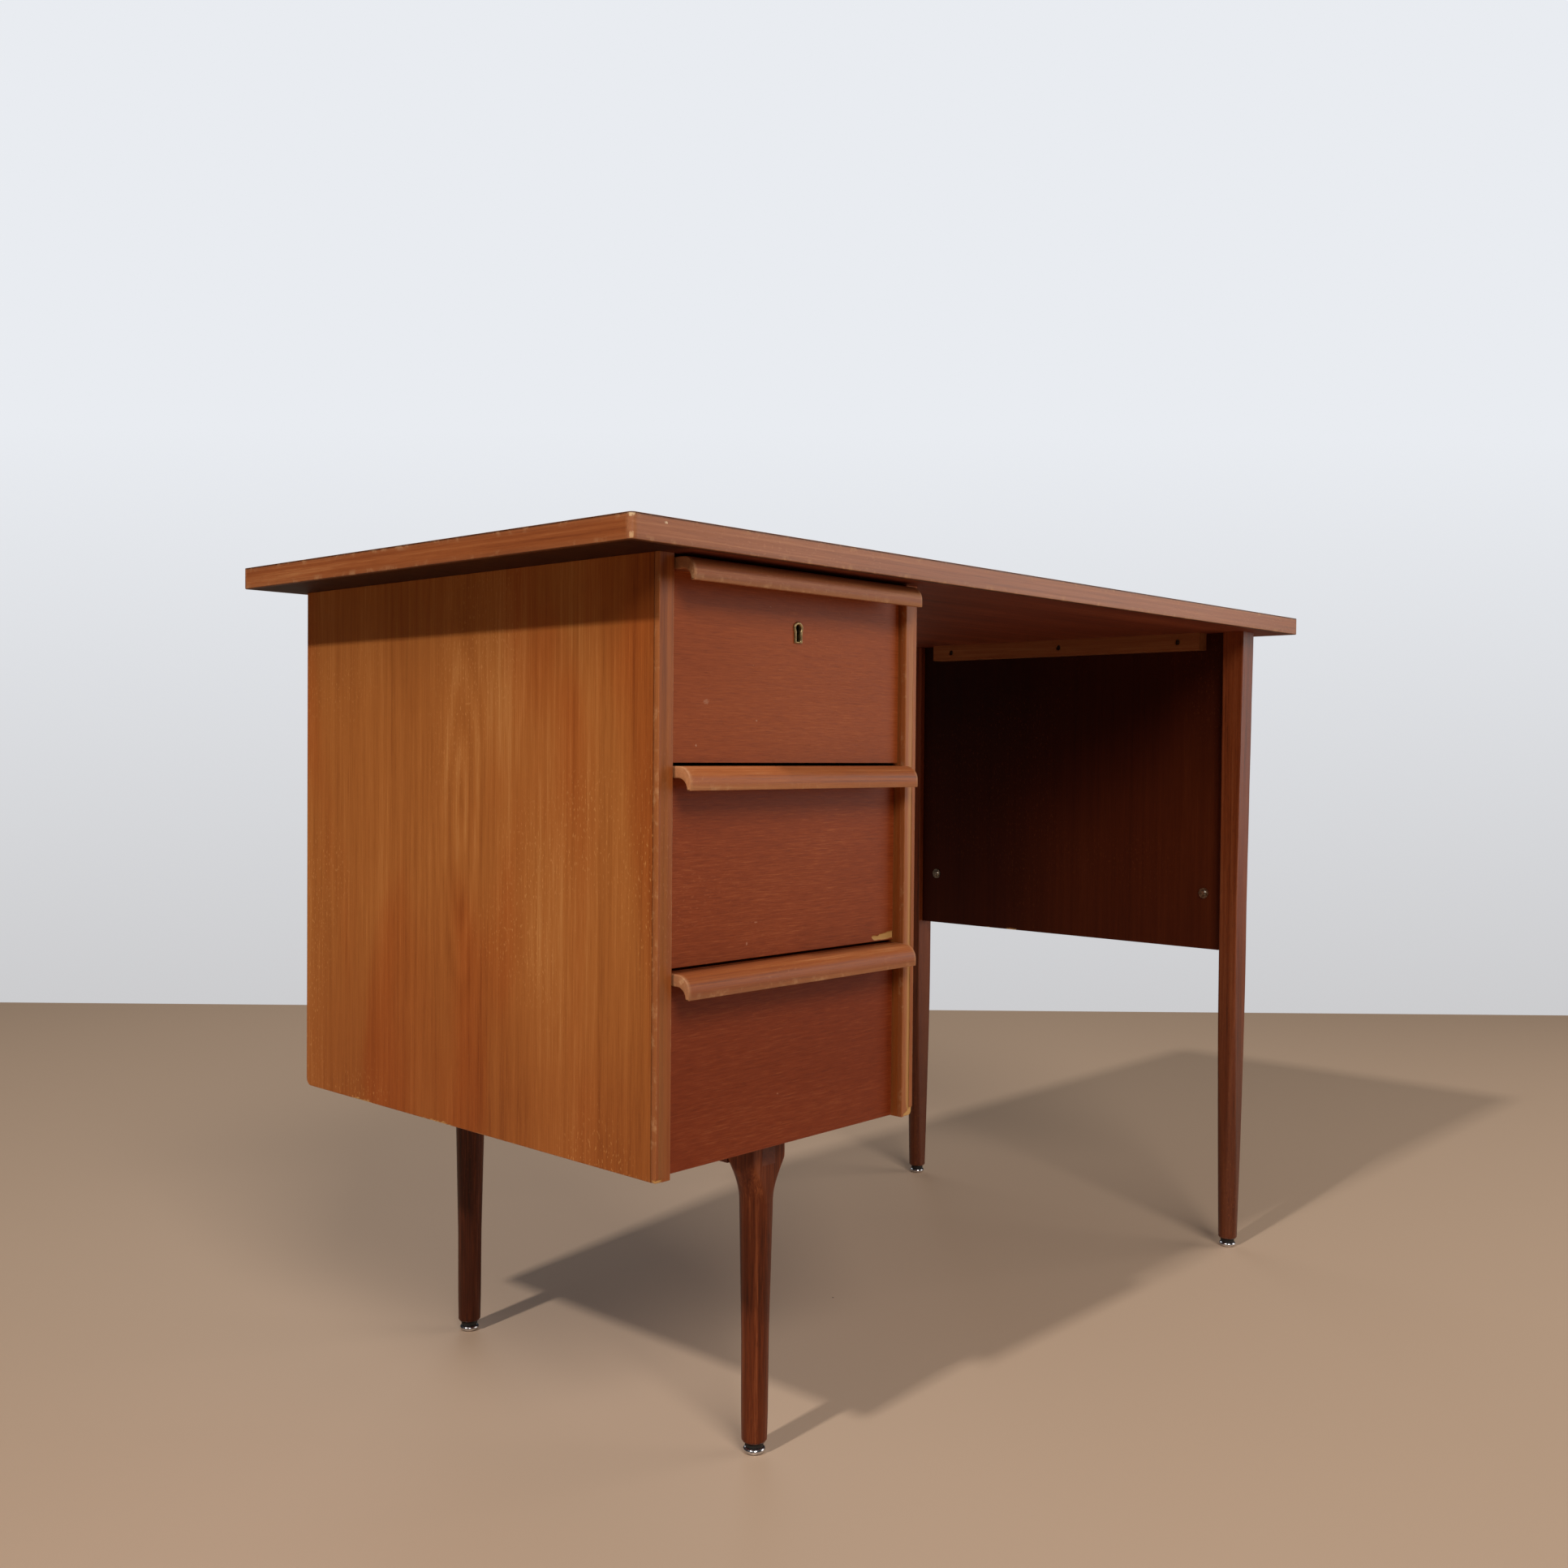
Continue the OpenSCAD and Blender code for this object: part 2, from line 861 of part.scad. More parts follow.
// lip pull: a rounded upper edge and a finger cove behind the lip
module drawer_pull(i) {
    cove = pull_h - pull_root;
    color(teak_pale)
    translate([front_x0, front_y0(i), front_z(i) + front_h])
        rotate([90, 0, 90])
            linear_extrude(height = front_w)
                difference() {
                    translate([-pull_out, -pull_h])
                        square([pull_out, pull_h]);
                    difference() {
                        translate([-pull_out - 1, -pull_r])
                            square([pull_r + 1, pull_r + 1]);
                        translate([-pull_out + pull_r, -pull_r])
                            circle(r = pull_r);
                    }
                    translate([-pull_out + pull_lip + cove, -pull_h])
                        circle(r = cove);
                    translate([-pull_out + pull_lip + cove, -pull_h - 1])
                        square([pull_out, cove + 1]);
                }
}

module top_drawer_front() {
    drawer_front(2);
}

module top_drawer_pull() {
    drawer_pull(2);
}

module top_drawer_left_side() {
    drawer_side(2, true);
}

module top_drawer_right_side() {
    drawer_side(2, false);
}

module top_drawer_back() {
    drawer_back(2);
}

module top_drawer_bottom() {
    drawer_bottom(2);
}

module middle_drawer_front() {
    drawer_front(1);
}

module middle_drawer_pull() {
    drawer_pull(1);
}

module middle_drawer_left_side() {
    drawer_side(1, true);
}

module middle_drawer_right_side() {
    drawer_side(1, false);
}

module middle_drawer_back() {
    drawer_back(1);
}

module middle_drawer_bottom() {
    drawer_bottom(1);
}

module bottom_drawer_front() {
    drawer_front(0);
}

module bottom_drawer_pull() {
    drawer_pull(0);
}

module bottom_drawer_left_side() {
    drawer_side(0, true);
}

module bottom_drawer_right_side() {
    drawer_side(0, false);
}

module bottom_drawer_back() {
    drawer_back(0);
}

module bottom_drawer_bottom() {
    drawer_bottom(0);
}

// ---- lock ----

// keyhole outline between y0 and y1: a round of diameter d over a slot of width w, grown by g at the foot
module key_shape(y0, y1, d, w, g) {
    translate([lock_x, y1, lock_top - key_down])
        rotate([90, 0, 0])
            linear_extrude(height = y1 - y0)
                union() {
                    circle(d = d);
                    translate([-w / 2, -key_slot_down - g * 0.6])
                        square([w, key_slot_down + g * 0.6]);
                }
}

module lock_escutcheon() {
    color(brass)
    difference() {
        key_shape(front_y0(2) - rim_out, lock_y0, key_d + 2 * key_rim, key_slot_w + 2 * key_rim, key_rim);
        key_shape(front_y0(2) - rim_out - 1, lock_y0 + 1, key_d, key_slot_w, 0);
    }
}

// the space the lock fills in the drawer front
module lock_blank() {
    translate([lock_x - case_w / 2, lock_y0, lock_top - lock_h + 2])
        cube([case_w, lock_depth - plate_t, lock_h - 2]);
    translate([lock_x - lock_w / 2, front_y1(2) - plate_t, lock_top - lock_h])
        cube([lock_w, plate_t, lock_h]);
}

module lock_case() {
    color(steel)
    difference() {
        lock_blank();
        translate([
            lock_x - bolt_w / 2 - bolt_gap,
            bolt_y - bolt_t / 2 - bolt_gap,
            lock_top - bolt_sink - bolt_h - bolt_gap,
        ])
            cube([bolt_w + 2 * bolt_gap, bolt_t + 2 * bolt_gap, bolt_h + 10]);
        difference() {
            key_shape(lock_y0 - 1, lock_y0 + 7, key_d, key_slot_w, 0);
            translate([lock_x, lock_y0 + 8, lock_top - key_down])
                rotate([90, 0, 0])
                    cylinder(h = 8, d = 2.4);
        }
        lock_screw_set();
    }
}

module lock_bolt() {
    color(brass)
    translate([lock_x - bolt_w / 2, bolt_y - bolt_t / 2, lock_top - bolt_sink - bolt_h])
        cube([bolt_w, bolt_t, bolt_h]);
}

module lock_screw_set() {
    for (s = [-1, 1])
        translate([lock_x + s * (lock_w / 2 - 5), front_y1(2), lock_top - lock_h / 2])
            rotate([-90, 0, 0])
                wood_screw(2.4, 4.6, 10);
}

module lock_screws() {
    color(brass)
    lock_screw_set();
}

module strike_slot(z0, z1) {
    translate([
        lock_x - bolt_w / 2 - strike_slot,
        bolt_y - bolt_t / 2 - strike_slot,
        z0,
    ])
        cube([bolt_w + 2 * strike_slot, bolt_t + 2 * strike_slot, z1 - z0]);
}

module strike_recess() {
    translate([lock_x - strike_w / 2, bolt_y - strike_d / 2, under_z - 1])
        cube([strike_w, strike_d, strike_t + 1]);
    strike_slot(under_z, under_z + bolt_travel + 5);
}

module striker_screw_set() {
    for (s = [-1, 1])
        translate([lock_x + s * (strike_w / 2 - 4), bolt_y, under_z])
            rotate([180, 0, 0])
                wood_screw(2.4, 4.4, 11);
}

module lock_striker() {
    color(brass)
    difference() {
        translate([lock_x - strike_w / 2, bolt_y - strike_d / 2, under_z])
            cube([strike_w, strike_d, strike_t]);
        strike_slot(under_z - 1, under_z + strike_t + 1);
        striker_screw_set();
    }
}

module striker_screws() {
    color(brass)
    striker_screw_set();
}

// ---- the model ----

desktop_core();
desktop_top_veneer();
desktop_front_band();
desktop_back_band();
desktop_left_band();
desktop_right_band();
pedestal_left_side();
pedestal_left_lipping();
pedestal_right_side();
pedestal_right_lipping();
pedestal_bottom();
pedestal_back();
pedestal_left_cleat();
pedestal_right_cleat();
top_drawer_runners();
middle_drawer_runners();
bottom_drawer_runners();
runner_screws();
cleat_screws();
desktop_screws();
pedestal_leg_rail();
rail_screws();
pedestal_front_leg();
pedestal_back_leg();
right_front_leg();
right_back_leg();
end_panel();
end_panel_cleat();
end_panel_dowels();
leg_top_dowels();
connector_bolts();
connector_nuts();
glide_discs();
glide_collars();
lock_striker();
striker_screws();
top_drawer_front();
top_drawer_pull();
top_drawer_left_side();
top_drawer_right_side();
top_drawer_back();
top_drawer_bottom();
middle_drawer_front();
middle_drawer_pull();
middle_drawer_left_side();
middle_drawer_right_side();
middle_drawer_back();
middle_drawer_bottom();
bottom_drawer_front();
bottom_drawer_pull();
bottom_drawer_left_side();
bottom_drawer_right_side();
bottom_drawer_back();
bottom_drawer_bottom();
lock_escutcheon();
lock_case();
lock_bolt();
lock_screws();
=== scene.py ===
import math

import bpy
import numpy as np
from mathutils import Matrix, Vector


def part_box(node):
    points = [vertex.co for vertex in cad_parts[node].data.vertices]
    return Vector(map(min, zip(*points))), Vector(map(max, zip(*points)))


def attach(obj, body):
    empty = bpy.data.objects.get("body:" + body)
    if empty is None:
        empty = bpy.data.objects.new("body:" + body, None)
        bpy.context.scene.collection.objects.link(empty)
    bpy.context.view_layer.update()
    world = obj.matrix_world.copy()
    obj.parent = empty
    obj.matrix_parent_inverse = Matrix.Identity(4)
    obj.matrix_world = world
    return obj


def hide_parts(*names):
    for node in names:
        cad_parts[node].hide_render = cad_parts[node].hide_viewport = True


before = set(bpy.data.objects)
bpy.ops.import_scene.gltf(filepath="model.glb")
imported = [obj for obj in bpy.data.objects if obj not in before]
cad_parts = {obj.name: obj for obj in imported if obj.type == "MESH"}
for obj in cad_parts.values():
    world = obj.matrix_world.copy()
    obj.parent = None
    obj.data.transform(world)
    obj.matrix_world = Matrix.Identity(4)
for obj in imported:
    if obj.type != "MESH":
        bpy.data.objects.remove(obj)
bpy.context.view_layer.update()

mm = 0.001


# meshes from numpy

def corners(node):
    # lowest and highest corner of a node's box, in metres
    lo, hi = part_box(node)
    return np.array(lo), np.array(hi)


def noiseLine(s, seed, waves=7, finest=0.004):
    # sum of sines whose lengths shrink from 0.12 m to the finest, with seeded phases, about -1 to 1
    rng = np.random.default_rng(seed)
    total = np.zeros_like(s)
    for length in np.geomspace(0.12, finest, waves):
        total += np.sin(2 * math.pi * s / length + rng.uniform(0, 2 * math.pi)) * rng.uniform(0.4, 1)
    return total / (0.7 * waves)


def loopPiece(name, rows, body, node, material, closedRows=False, wear=None, chip=None):
    # rows is V x U x 3: every row is a closed loop, neighbouring rows are joined by quads,
    # and the first and last rows are closed by one flat face unless the rows close on themselves
    v, u = rows.shape[:2]
    at = np.arange(v * u).reshape(v, u)
    lower = at if closedRows else at[:-1]
    upper = np.roll(at, -1, axis=0) if closedRows else at[1:]
    quads = np.stack([lower, np.roll(lower, -1, 1), np.roll(upper, -1, 1), upper], -1).reshape(-1, 4)
    faces = quads.tolist()
    if not closedRows:
        faces += [at[0][::-1].tolist(), at[-1].tolist()]
    return finishPiece(name, rows.reshape(-1, 3), faces, body, node, material, wear, chip)


def finishPiece(name, points, faces, body, node, material, wear=None, chip=None):
    # one mesh piece with its wear and chip attributes, riding on a body in place of its node or nodes
    mesh = bpy.data.meshes.new(name)
    mesh.from_pydata(points.tolist(), [], faces)
    for label, values in (("wear", wear), ("chip", chip)):
        layer = mesh.attributes.new(label, "FLOAT", "POINT")
        if values is not None:
            layer.data.foreach_set("value", np.asarray(values, dtype=np.float32).ravel())
    mesh.polygons.foreach_set("use_smooth", np.ones(len(mesh.polygons), dtype=bool))
    mesh.materials.append(material)
    mesh.update()
    piece = bpy.data.objects.new(name, mesh)
    bpy.context.scene.collection.objects.link(piece)
    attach(piece, body)
    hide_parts(*([node] if isinstance(node, str) else node))
    return piece


def outline(lo, hi, radii, inset, count):
    # anticlockwise walk round a rectangle with arcs for corners, for every inset at once:
    # a side is a straight blend between two arc ends, an arc is centre plus radius times (cos, sin)
    a0, b0 = lo[0] + inset[:, 0], lo[1] + inset[:, 1]
    a1, b1 = hi[0] - inset[:, 2], hi[1] - inset[:, 3]
    least = inset.max(axis=1)
    r = [np.maximum(radius - least, 0.02 * mm) for radius in radii]
    centres = [(a0 + r[0], b0 + r[0]), (a1 - r[1], b0 + r[1]), (a1 - r[2], b1 - r[2]), (a0 + r[3], b1 - r[3])]
    sweep = np.linspace(0, math.pi / 2, 6)
    parts, isCorner = [], []
    for k in range(4):
        nextK = (k + 1) % 4
        turn = k * math.pi / 2 - math.pi / 2
        out = np.array([math.cos(turn), math.sin(turn)])
        start = np.stack([centres[k][0] + out[0] * r[k], centres[k][1] + out[1] * r[k]], -1)
        end = np.stack([centres[nextK][0] + out[0] * r[nextK], centres[nextK][1] + out[1] * r[nextK]], -1)
        t = np.linspace(0, 1, count[k % 2] + 1)[1:-1]
        parts.append(start[:, None] + (end - start)[:, None] * t[None, :, None])
        isCorner += [0.0] * len(t)
        angle = turn + sweep
        arc = np.stack([np.cos(angle), np.sin(angle)], -1)
        parts.append(np.stack(centres[nextK], -1)[:, None] + arc[None] * r[nextK][:, None, None])
        isCorner += [1.0] * len(sweep)
    return np.concatenate(parts, axis=1), np.array(isCorner)


def board(name, node, body, material, thick="z", radii=(0, 0, 0, 0), edges=(0.6, 0.6), ease=(1, 1, 1, 1),
          pitch=6.0, faceRows=(0.4,), trim=(0, 0, 0), chips=(), seed=1, nibble=0.12):
    # a flat board: a rounded outline in the plane across its thickness, carried up through a
    # quarter-round lower edge, the wall, and a quarter-round upper edge, then inwards over each face
    lo, hi = corners(node)
    lo, hi = lo + np.array(trim) * mm, hi - np.array(trim) * mm
    order = {"x": (1, 2, 0), "y": (2, 0, 1), "z": (0, 1, 2)}[thick]
    lo, hi = lo[list(order)], hi[list(order)]
    lower, upper = edges[0] * mm, edges[1] * mm
    height = hi[2] - lo[2]
    arc = np.linspace(0, math.pi / 2, 5)
    inwards = np.array(sorted(faceRows)) * mm
    walls = np.linspace(lower, height - upper, max(2, int(height / (4 * mm)) + 1))
    easing = np.concatenate([np.full(len(inwards), lower), lower * (1 - np.sin(arc)), np.zeros(len(walls) - 2),
                             upper * (1 - np.sin(arc[::-1])), np.full(len(inwards), upper)])
    extra = np.concatenate([inwards[::-1], np.zeros(len(arc) * 2 + len(walls) - 2), inwards])
    up = np.concatenate([np.zeros(len(inwards)), lower * (1 - np.cos(arc)), walls[1:-1],
                         height - upper * (1 - np.cos(arc[::-1])), np.full(len(inwards), height)])
    inset = easing[:, None] * np.array(ease)[None] + extra[:, None]
    counts = [max(2, int((hi[i] - lo[i]) / (pitch * mm))) for i in (0, 1)]
    plan, isCorner = outline(lo[:2], hi[:2], [max(r, 0.3) * mm for r in radii], inset, counts)
    points = np.concatenate([plan, np.broadcast_to((lo[2] + up)[:, None, None], plan.shape[:2] + (1,))], -1)
    onEdge = np.concatenate([np.zeros(len(inwards)), np.ones(len(arc)), np.zeros(len(walls) - 2),
                             np.ones(len(arc)), np.zeros(len(inwards))])
    wear = np.maximum(onEdge[:, None], isCorner[None] * (extra == 0)[:, None])
    middle = (lo[:2] + hi[:2]) / 2
    towards = middle - points[..., :2]
    towards = towards / np.maximum(np.linalg.norm(towards, axis=-1, keepdims=True), 1e-6)
    along = points[..., 0] + 1.7 * points[..., 1]
    bite = np.maximum(noiseLine(along, seed), 0) * nibble * mm * wear * (noiseLine(along, seed + 5) > 0)
    points[..., :2] += towards * bite[..., None] * (np.array(ease).min() > 0.5)
    mask = np.zeros(points.shape[:2])
    for one in chips:
        # a chip is a shallow dish inside a ragged rectangle, deepest away from its rim
        a, b = points[..., 0] / mm, points[..., 1] / mm
        rag = noiseLine(points[..., 0] * 3 + points[..., 1] * 5, seed + 11, finest=0.006) * one["ragged"]
        share = np.clip((b - one["b"][0]) / (one["b"][1] - one["b"][0]), 0, 1)
        crest = np.interp(share, *zip(*one.get("crest", [(0, 1), (1, 1)])))
        base = np.interp(share, *zip(*one.get("base", [(0, 0), (1, 0)])))
        tall = one["a"][1] - one["a"][0]
        side = np.minimum.reduce([a - one["a"][0] - base * tall + rag, one["a"][0] + crest * tall - a + rag,
                                  b - one["b"][0] + rag, one["b"][1] - b + rag])
        near = points[..., 2] > (hi[2] - 2 * mm) if one["face"] > 0 else points[..., 2] < (lo[2] + 2 * mm)
        depth = np.clip(side / 0.5, 0, 1) * near
        mask = np.maximum(mask, depth)
        points[..., 2] -= one["face"] * depth * one["depth"] * mm
    back = [order.index(i) for i in range(3)]
    return loopPiece(name, points[..., back], body, node, material, wear=wear, chip=mask)


def merge(shells):
    # several closed loop grids as one list of points and faces
    points, faces, start = [], [], 0
    for rows in shells:
        v, u = rows.shape[:2]
        at = np.arange(v * u).reshape(v, u) + start
        quads = np.stack([at[:-1], np.roll(at[:-1], -1, 1), np.roll(at[1:], -1, 1), at[1:]], -1)
        faces += quads.reshape(-1, 4).tolist() + [at[0][::-1].tolist(), at[-1].tolist()]
        points.append(rows.reshape(-1, 3))
        start += v * u
    return np.concatenate(points), faces


def turned(profile, centre, steps):
    # a profile of (radius, height) pairs spun about an upright axis through centre
    profile = np.array(profile) * mm
    angle = np.linspace(0, 2 * math.pi, steps, endpoint=False)
    x = centre[0] + profile[:, :1] * np.cos(angle)
    y = centre[1] + profile[:, :1] * np.sin(angle)
    z = np.broadcast_to(profile[:, 1:] + centre[2], x.shape)
    return np.stack([x, y, z], -1)


# finishes

def tone(red, green, blue):
    # a colour as seen on a screen, 0 to 255, turned into scene light
    c = np.array([red, green, blue]) / 255
    linear = np.where(c <= 0.04045, c / 12.92, ((c + 0.055) / 1.055) ** 2.4)
    return (*linear.tolist(), 1.0)


def mark(centre, half, amount, colour):
    # a small bare or dark spot: its centre and its half sizes, in metres
    return {"at": (centre, half), "amount": amount, "colour": tone(*colour)}


def drift(axis, start, end, amount, colour):
    # a tone that comes in along an axis, from none at start to amount at end
    return {"axis": axis, "from": start, "to": end, "amount": amount, "colour": tone(*colour)}


class Shader:
    # short ways to add and join nodes
    def __init__(self, name):
        self.material = bpy.data.materials.new(name)
        self.material.use_nodes = True
        self.tree = self.material.node_tree
        self.surface = self.tree.nodes["Principled BSDF"]

    def put(self, value, socket):
        if isinstance(value, bpy.types.NodeSocket):
            self.tree.links.new(value, socket)
        else:
            socket.default_value = value

    def noise(self, stretch, shift=(0, 0, 0), detail=3.0, rough=0.55, warp=0.0, vector=None):
        place = self.tree.nodes.new("ShaderNodeMapping")
        place.inputs["Location"].default_value = shift
        place.inputs["Scale"].default_value = stretch
        self.put(vector or self.objectPlace(), place.inputs["Vector"])
        node = self.tree.nodes.new("ShaderNodeTexNoise")
        node.inputs["Scale"].default_value = 1.0
        node.inputs["Detail"].default_value = detail
        node.inputs["Roughness"].default_value = rough
        node.inputs["Distortion"].default_value = warp
        self.tree.links.new(place.outputs[0], node.inputs["Vector"])
        return node.outputs["Fac"]

    def objectPlace(self):
        if not hasattr(self, "coordinates"):
            self.coordinates = self.tree.nodes.new("ShaderNodeTexCoord")
        return self.coordinates.outputs["Object"]

    def attribute(self, name):
        node = self.tree.nodes.new("ShaderNodeAttribute")
        node.attribute_name = name
        return node.outputs["Fac"]

    def away(self, centre, half):
        # distance from a place, measured in half sizes along each axis
        moved = self.tree.nodes.new("ShaderNodeVectorMath")
        moved.operation = "SUBTRACT"
        self.put(self.objectPlace(), moved.inputs[0])
        moved.inputs[1].default_value = centre
        scaled = self.tree.nodes.new("ShaderNodeVectorMath")
        scaled.operation = "DIVIDE"
        self.put(moved.outputs[0], scaled.inputs[0])
        scaled.inputs[1].default_value = half
        length = self.tree.nodes.new("ShaderNodeVectorMath")
        length.operation = "LENGTH"
        self.put(scaled.outputs[0], length.inputs[0])
        return length.outputs["Value"]

    def sums(self, kind, first, second=0.0, third=0.0):
        node = self.tree.nodes.new("ShaderNodeMath")
        node.operation = kind
        for value, socket in zip((first, second, third), node.inputs):
            self.put(value, socket)
        return node.outputs[0]

    def between(self, value, low, high, outLow=0.0, outHigh=1.0, soft=True):
        node = self.tree.nodes.new("ShaderNodeMapRange")
        node.interpolation_type = "SMOOTHSTEP" if soft else "LINEAR"
        for value, socket in zip((value, low, high, outLow, outHigh), node.inputs):
            self.put(value, socket)
        return node.outputs[0]

    def mix(self, amount, first, second, kind="MIX"):
        node = self.tree.nodes.new("ShaderNodeMix")
        node.data_type = "RGBA"
        node.blend_type = kind
        self.put(amount, node.inputs[0])
        self.put(first, node.inputs[6])
        self.put(second, node.inputs[7])
        return node.outputs[2]

    def ramp(self, value, stops):
        node = self.tree.nodes.new("ShaderNodeValToRGB")
        while len(node.color_ramp.elements) < len(stops):
            node.color_ramp.elements.new(0.5)
        for element, (place, colour) in zip(node.color_ramp.elements, stops):
            element.position = place
            element.color = colour
        self.put(value, node.inputs[0])
        return node.outputs[0]

    def bump(self, height, distance, strength=1.0):
        node = self.tree.nodes.new("ShaderNodeBump")
        node.inputs["Strength"].default_value = strength
        node.inputs["Distance"].default_value = distance
        self.put(height, node.inputs["Height"])
        return node.outputs[0]


# what every wood finish starts from: scales across the grain and runs along it, in cycles per metre
woodStart = {"shift": (0, 0, 0), "bandScale": 22, "bandRun": 1.1, "streakScale": 170, "streakRun": 2.4,
             "fibreScale": 1100, "fibreRun": 26, "poreScale": 2300, "poreRun": 110, "cloudScale": (7, 4),
             "figure": (0.55, 0.5, 0.35, 0.3), "fleckScale": (560, 240), "flecks": 0.25, "patchScale": 5,
             "nickScale": (210, 150), "nicks": 0.5, "rubScale": 90, "markScale": 760, "pore": 0.3,
             "worn": 0.5, "wornFloor": 0.15, "bare": tone(206, 156, 92), "rough": 0.46, "gloss": 0.3,
             "relief": 0.05}


def woodFinish(name, look):
    # broad growth bands, narrow streaks, fibres and pores, all stretched along the grain
    look = {**woodStart, **look}
    s = Shader(name)
    axis = "xyz".index(look["grain"])

    def stretch(across, along):
        return tuple(along if i == axis else across for i in range(3))

    shift = look["shift"]
    bands = s.noise(stretch(look["bandScale"], look["bandRun"]), shift, 2.5, 0.55, 0.5)
    streaks = s.noise(stretch(look["streakScale"], look["streakRun"]), shift, 3.5, 0.6, 0.35)
    fibres = s.noise(stretch(look["fibreScale"], look["fibreRun"]), shift, 3.0, 0.65)
    pores = s.noise(stretch(look["poreScale"], look["poreRun"]), shift, 2.0, 0.5)
    cloud = s.noise(stretch(*look["cloudScale"]), shift, 2.0, 0.5)
    weights = look["figure"]
    total = s.sums("MULTIPLY_ADD", s.sums("SUBTRACT", bands, 0.5), weights[0], 0.5)
    for value, weight in zip((streaks, fibres, cloud), weights[1:]):
        total = s.sums("MULTIPLY_ADD", s.sums("SUBTRACT", value, 0.5), weight, total)
    if "flame" in look:
        # nested long ovals about one place, fading outwards
        wander = s.noise(stretch(30, 9), shift, 2.0, 0.5)
        oval = s.sums("MULTIPLY_ADD", wander, 0.9, s.away(look["flame"]["place"], look["flame"]["half"]))
        waves = s.sums("SINE", s.sums("MULTIPLY", oval, look["flame"]["rings"]))
        rings = s.sums("MULTIPLY", waves, s.between(oval, 3.2, 0.8))
        total = s.sums("MULTIPLY_ADD", rings, look["flame"]["strength"], total)
    colour = s.ramp(total, [(0.22, look["deep"]), (0.42, look["mid"]), (0.56, look["warm"]), (0.78, look["light"])])
    darkPore = s.between(pores, 0.58, 0.72, 0.0, look["pore"])
    colour = s.mix(darkPore, colour, look["deep"])
    if "blush" in look:
        # broad warm patches
        patchy = s.noise(stretch(11, 3.2), (shift[0] + 4, 2.2, 1.3), 2.0, 0.5, 0.4)
        colour = s.mix(s.between(patchy, 0.42, 0.66, 0.0, 0.8), colour, look["blush"], "MULTIPLY")
    for one in look.get("age", ()):
        # colour drifts across a large face: one axis, from one place to another; most are painted shade, the rest
        # dark lines along joints and edges
        split = s.tree.nodes.new("ShaderNodeSeparateXYZ")
        s.put(s.objectPlace(), split.inputs[0])
        share = s.between(split.outputs["xyz".index(one["axis"])], one["from"], one["to"], 0.0, one["amount"])
        colour = s.mix(share, colour, one["colour"], "MULTIPLY")
    flecks = s.noise(stretch(*look["fleckScale"]), (3, 1, 2), 1.0, 0.5)
    patch = s.noise((look["patchScale"],) * 3, (1.5, 0.2, 7), 1.0, 0.5)
    pale = s.sums("MULTIPLY", s.between(flecks, 0.62, 0.70), s.between(patch, 0.48, 0.62, 0.06, 1.0))
    colour = s.mix(s.sums("MULTIPLY", pale, look["flecks"]), colour, look["light"])
    rubbed = look.get("rubbed", look["light"])
    nicks = s.noise(stretch(*look["nickScale"]), (7, 3, 5), 3.0, 0.7, 1.2)
    colour = s.mix(s.between(nicks, 0.735, 0.775, 0.0, look["nicks"]), colour, rubbed)
    rub = s.noise((look["rubScale"],) * 3, (0, 4, 1), 4.0, 0.65)
    worn = s.sums("MULTIPLY", s.attribute("wear"), s.between(rub, 0.52, 0.70, look["wornFloor"], 1.0))
    colour = s.mix(s.sums("MULTIPLY", worn, look["worn"]), colour, rubbed)
    for spot in look.get("marks", ()):
        # distance from the spot's centre in units of its half sizes, made ragged by noise
        ragged = s.noise((look["markScale"],) * 3, (2, 9, 4), 3.0, 0.7)
        edge = s.sums("MULTIPLY_ADD", ragged, 2.2, s.away(*spot["at"]))
        colour = s.mix(s.between(edge, 1.95, 1.60, 0.0, spot["amount"]), colour, spot["colour"])
    colour = s.mix(s.attribute("chip"), colour, look["bare"])
    s.put(colour, s.surface.inputs["Base Color"])
    rough = s.sums("MULTIPLY_ADD", s.sums("SUBTRACT", fibres, 0.5), 0.22, look["rough"])
    s.put(s.sums("MULTIPLY_ADD", worn, 0.12, rough), s.surface.inputs["Roughness"])
    s.surface.inputs["Specular IOR Level"].default_value = look["gloss"]
    relief = s.sums("SUBTRACT", s.sums("MULTIPLY", fibres, 0.5), s.sums("MULTIPLY", darkPore, 2.0))
    s.put(s.bump(relief, look["relief"] * mm, 0.7), s.surface.inputs["Normal"])
    return s.material


def metalFinish(name, look):
    # two tones mixed by tarnish, with small spots that change the gloss and the relief
    s = Shader(name)
    tarnish = s.noise((240, 240, 240), (0, 0, 0), 4.0, 0.6)
    spots = s.noise((900, 900, 900), (5, 0, 0), 2.0, 0.5)
    colour = s.ramp(tarnish, [(0.30, look["dark"]), (0.62, look["bright"])])
    s.put(colour, s.surface.inputs["Base Color"])
    s.put(s.between(spots, 0.35, 0.75, look["rough"], look["rough"] + 0.18), s.surface.inputs["Roughness"])
    s.surface.inputs["Metallic"].default_value = look["metal"]
    s.surface.inputs["Specular IOR Level"].default_value = 0.4
    s.put(s.bump(spots, 0.02 * mm, 0.4), s.surface.inputs["Normal"])
    return s.material
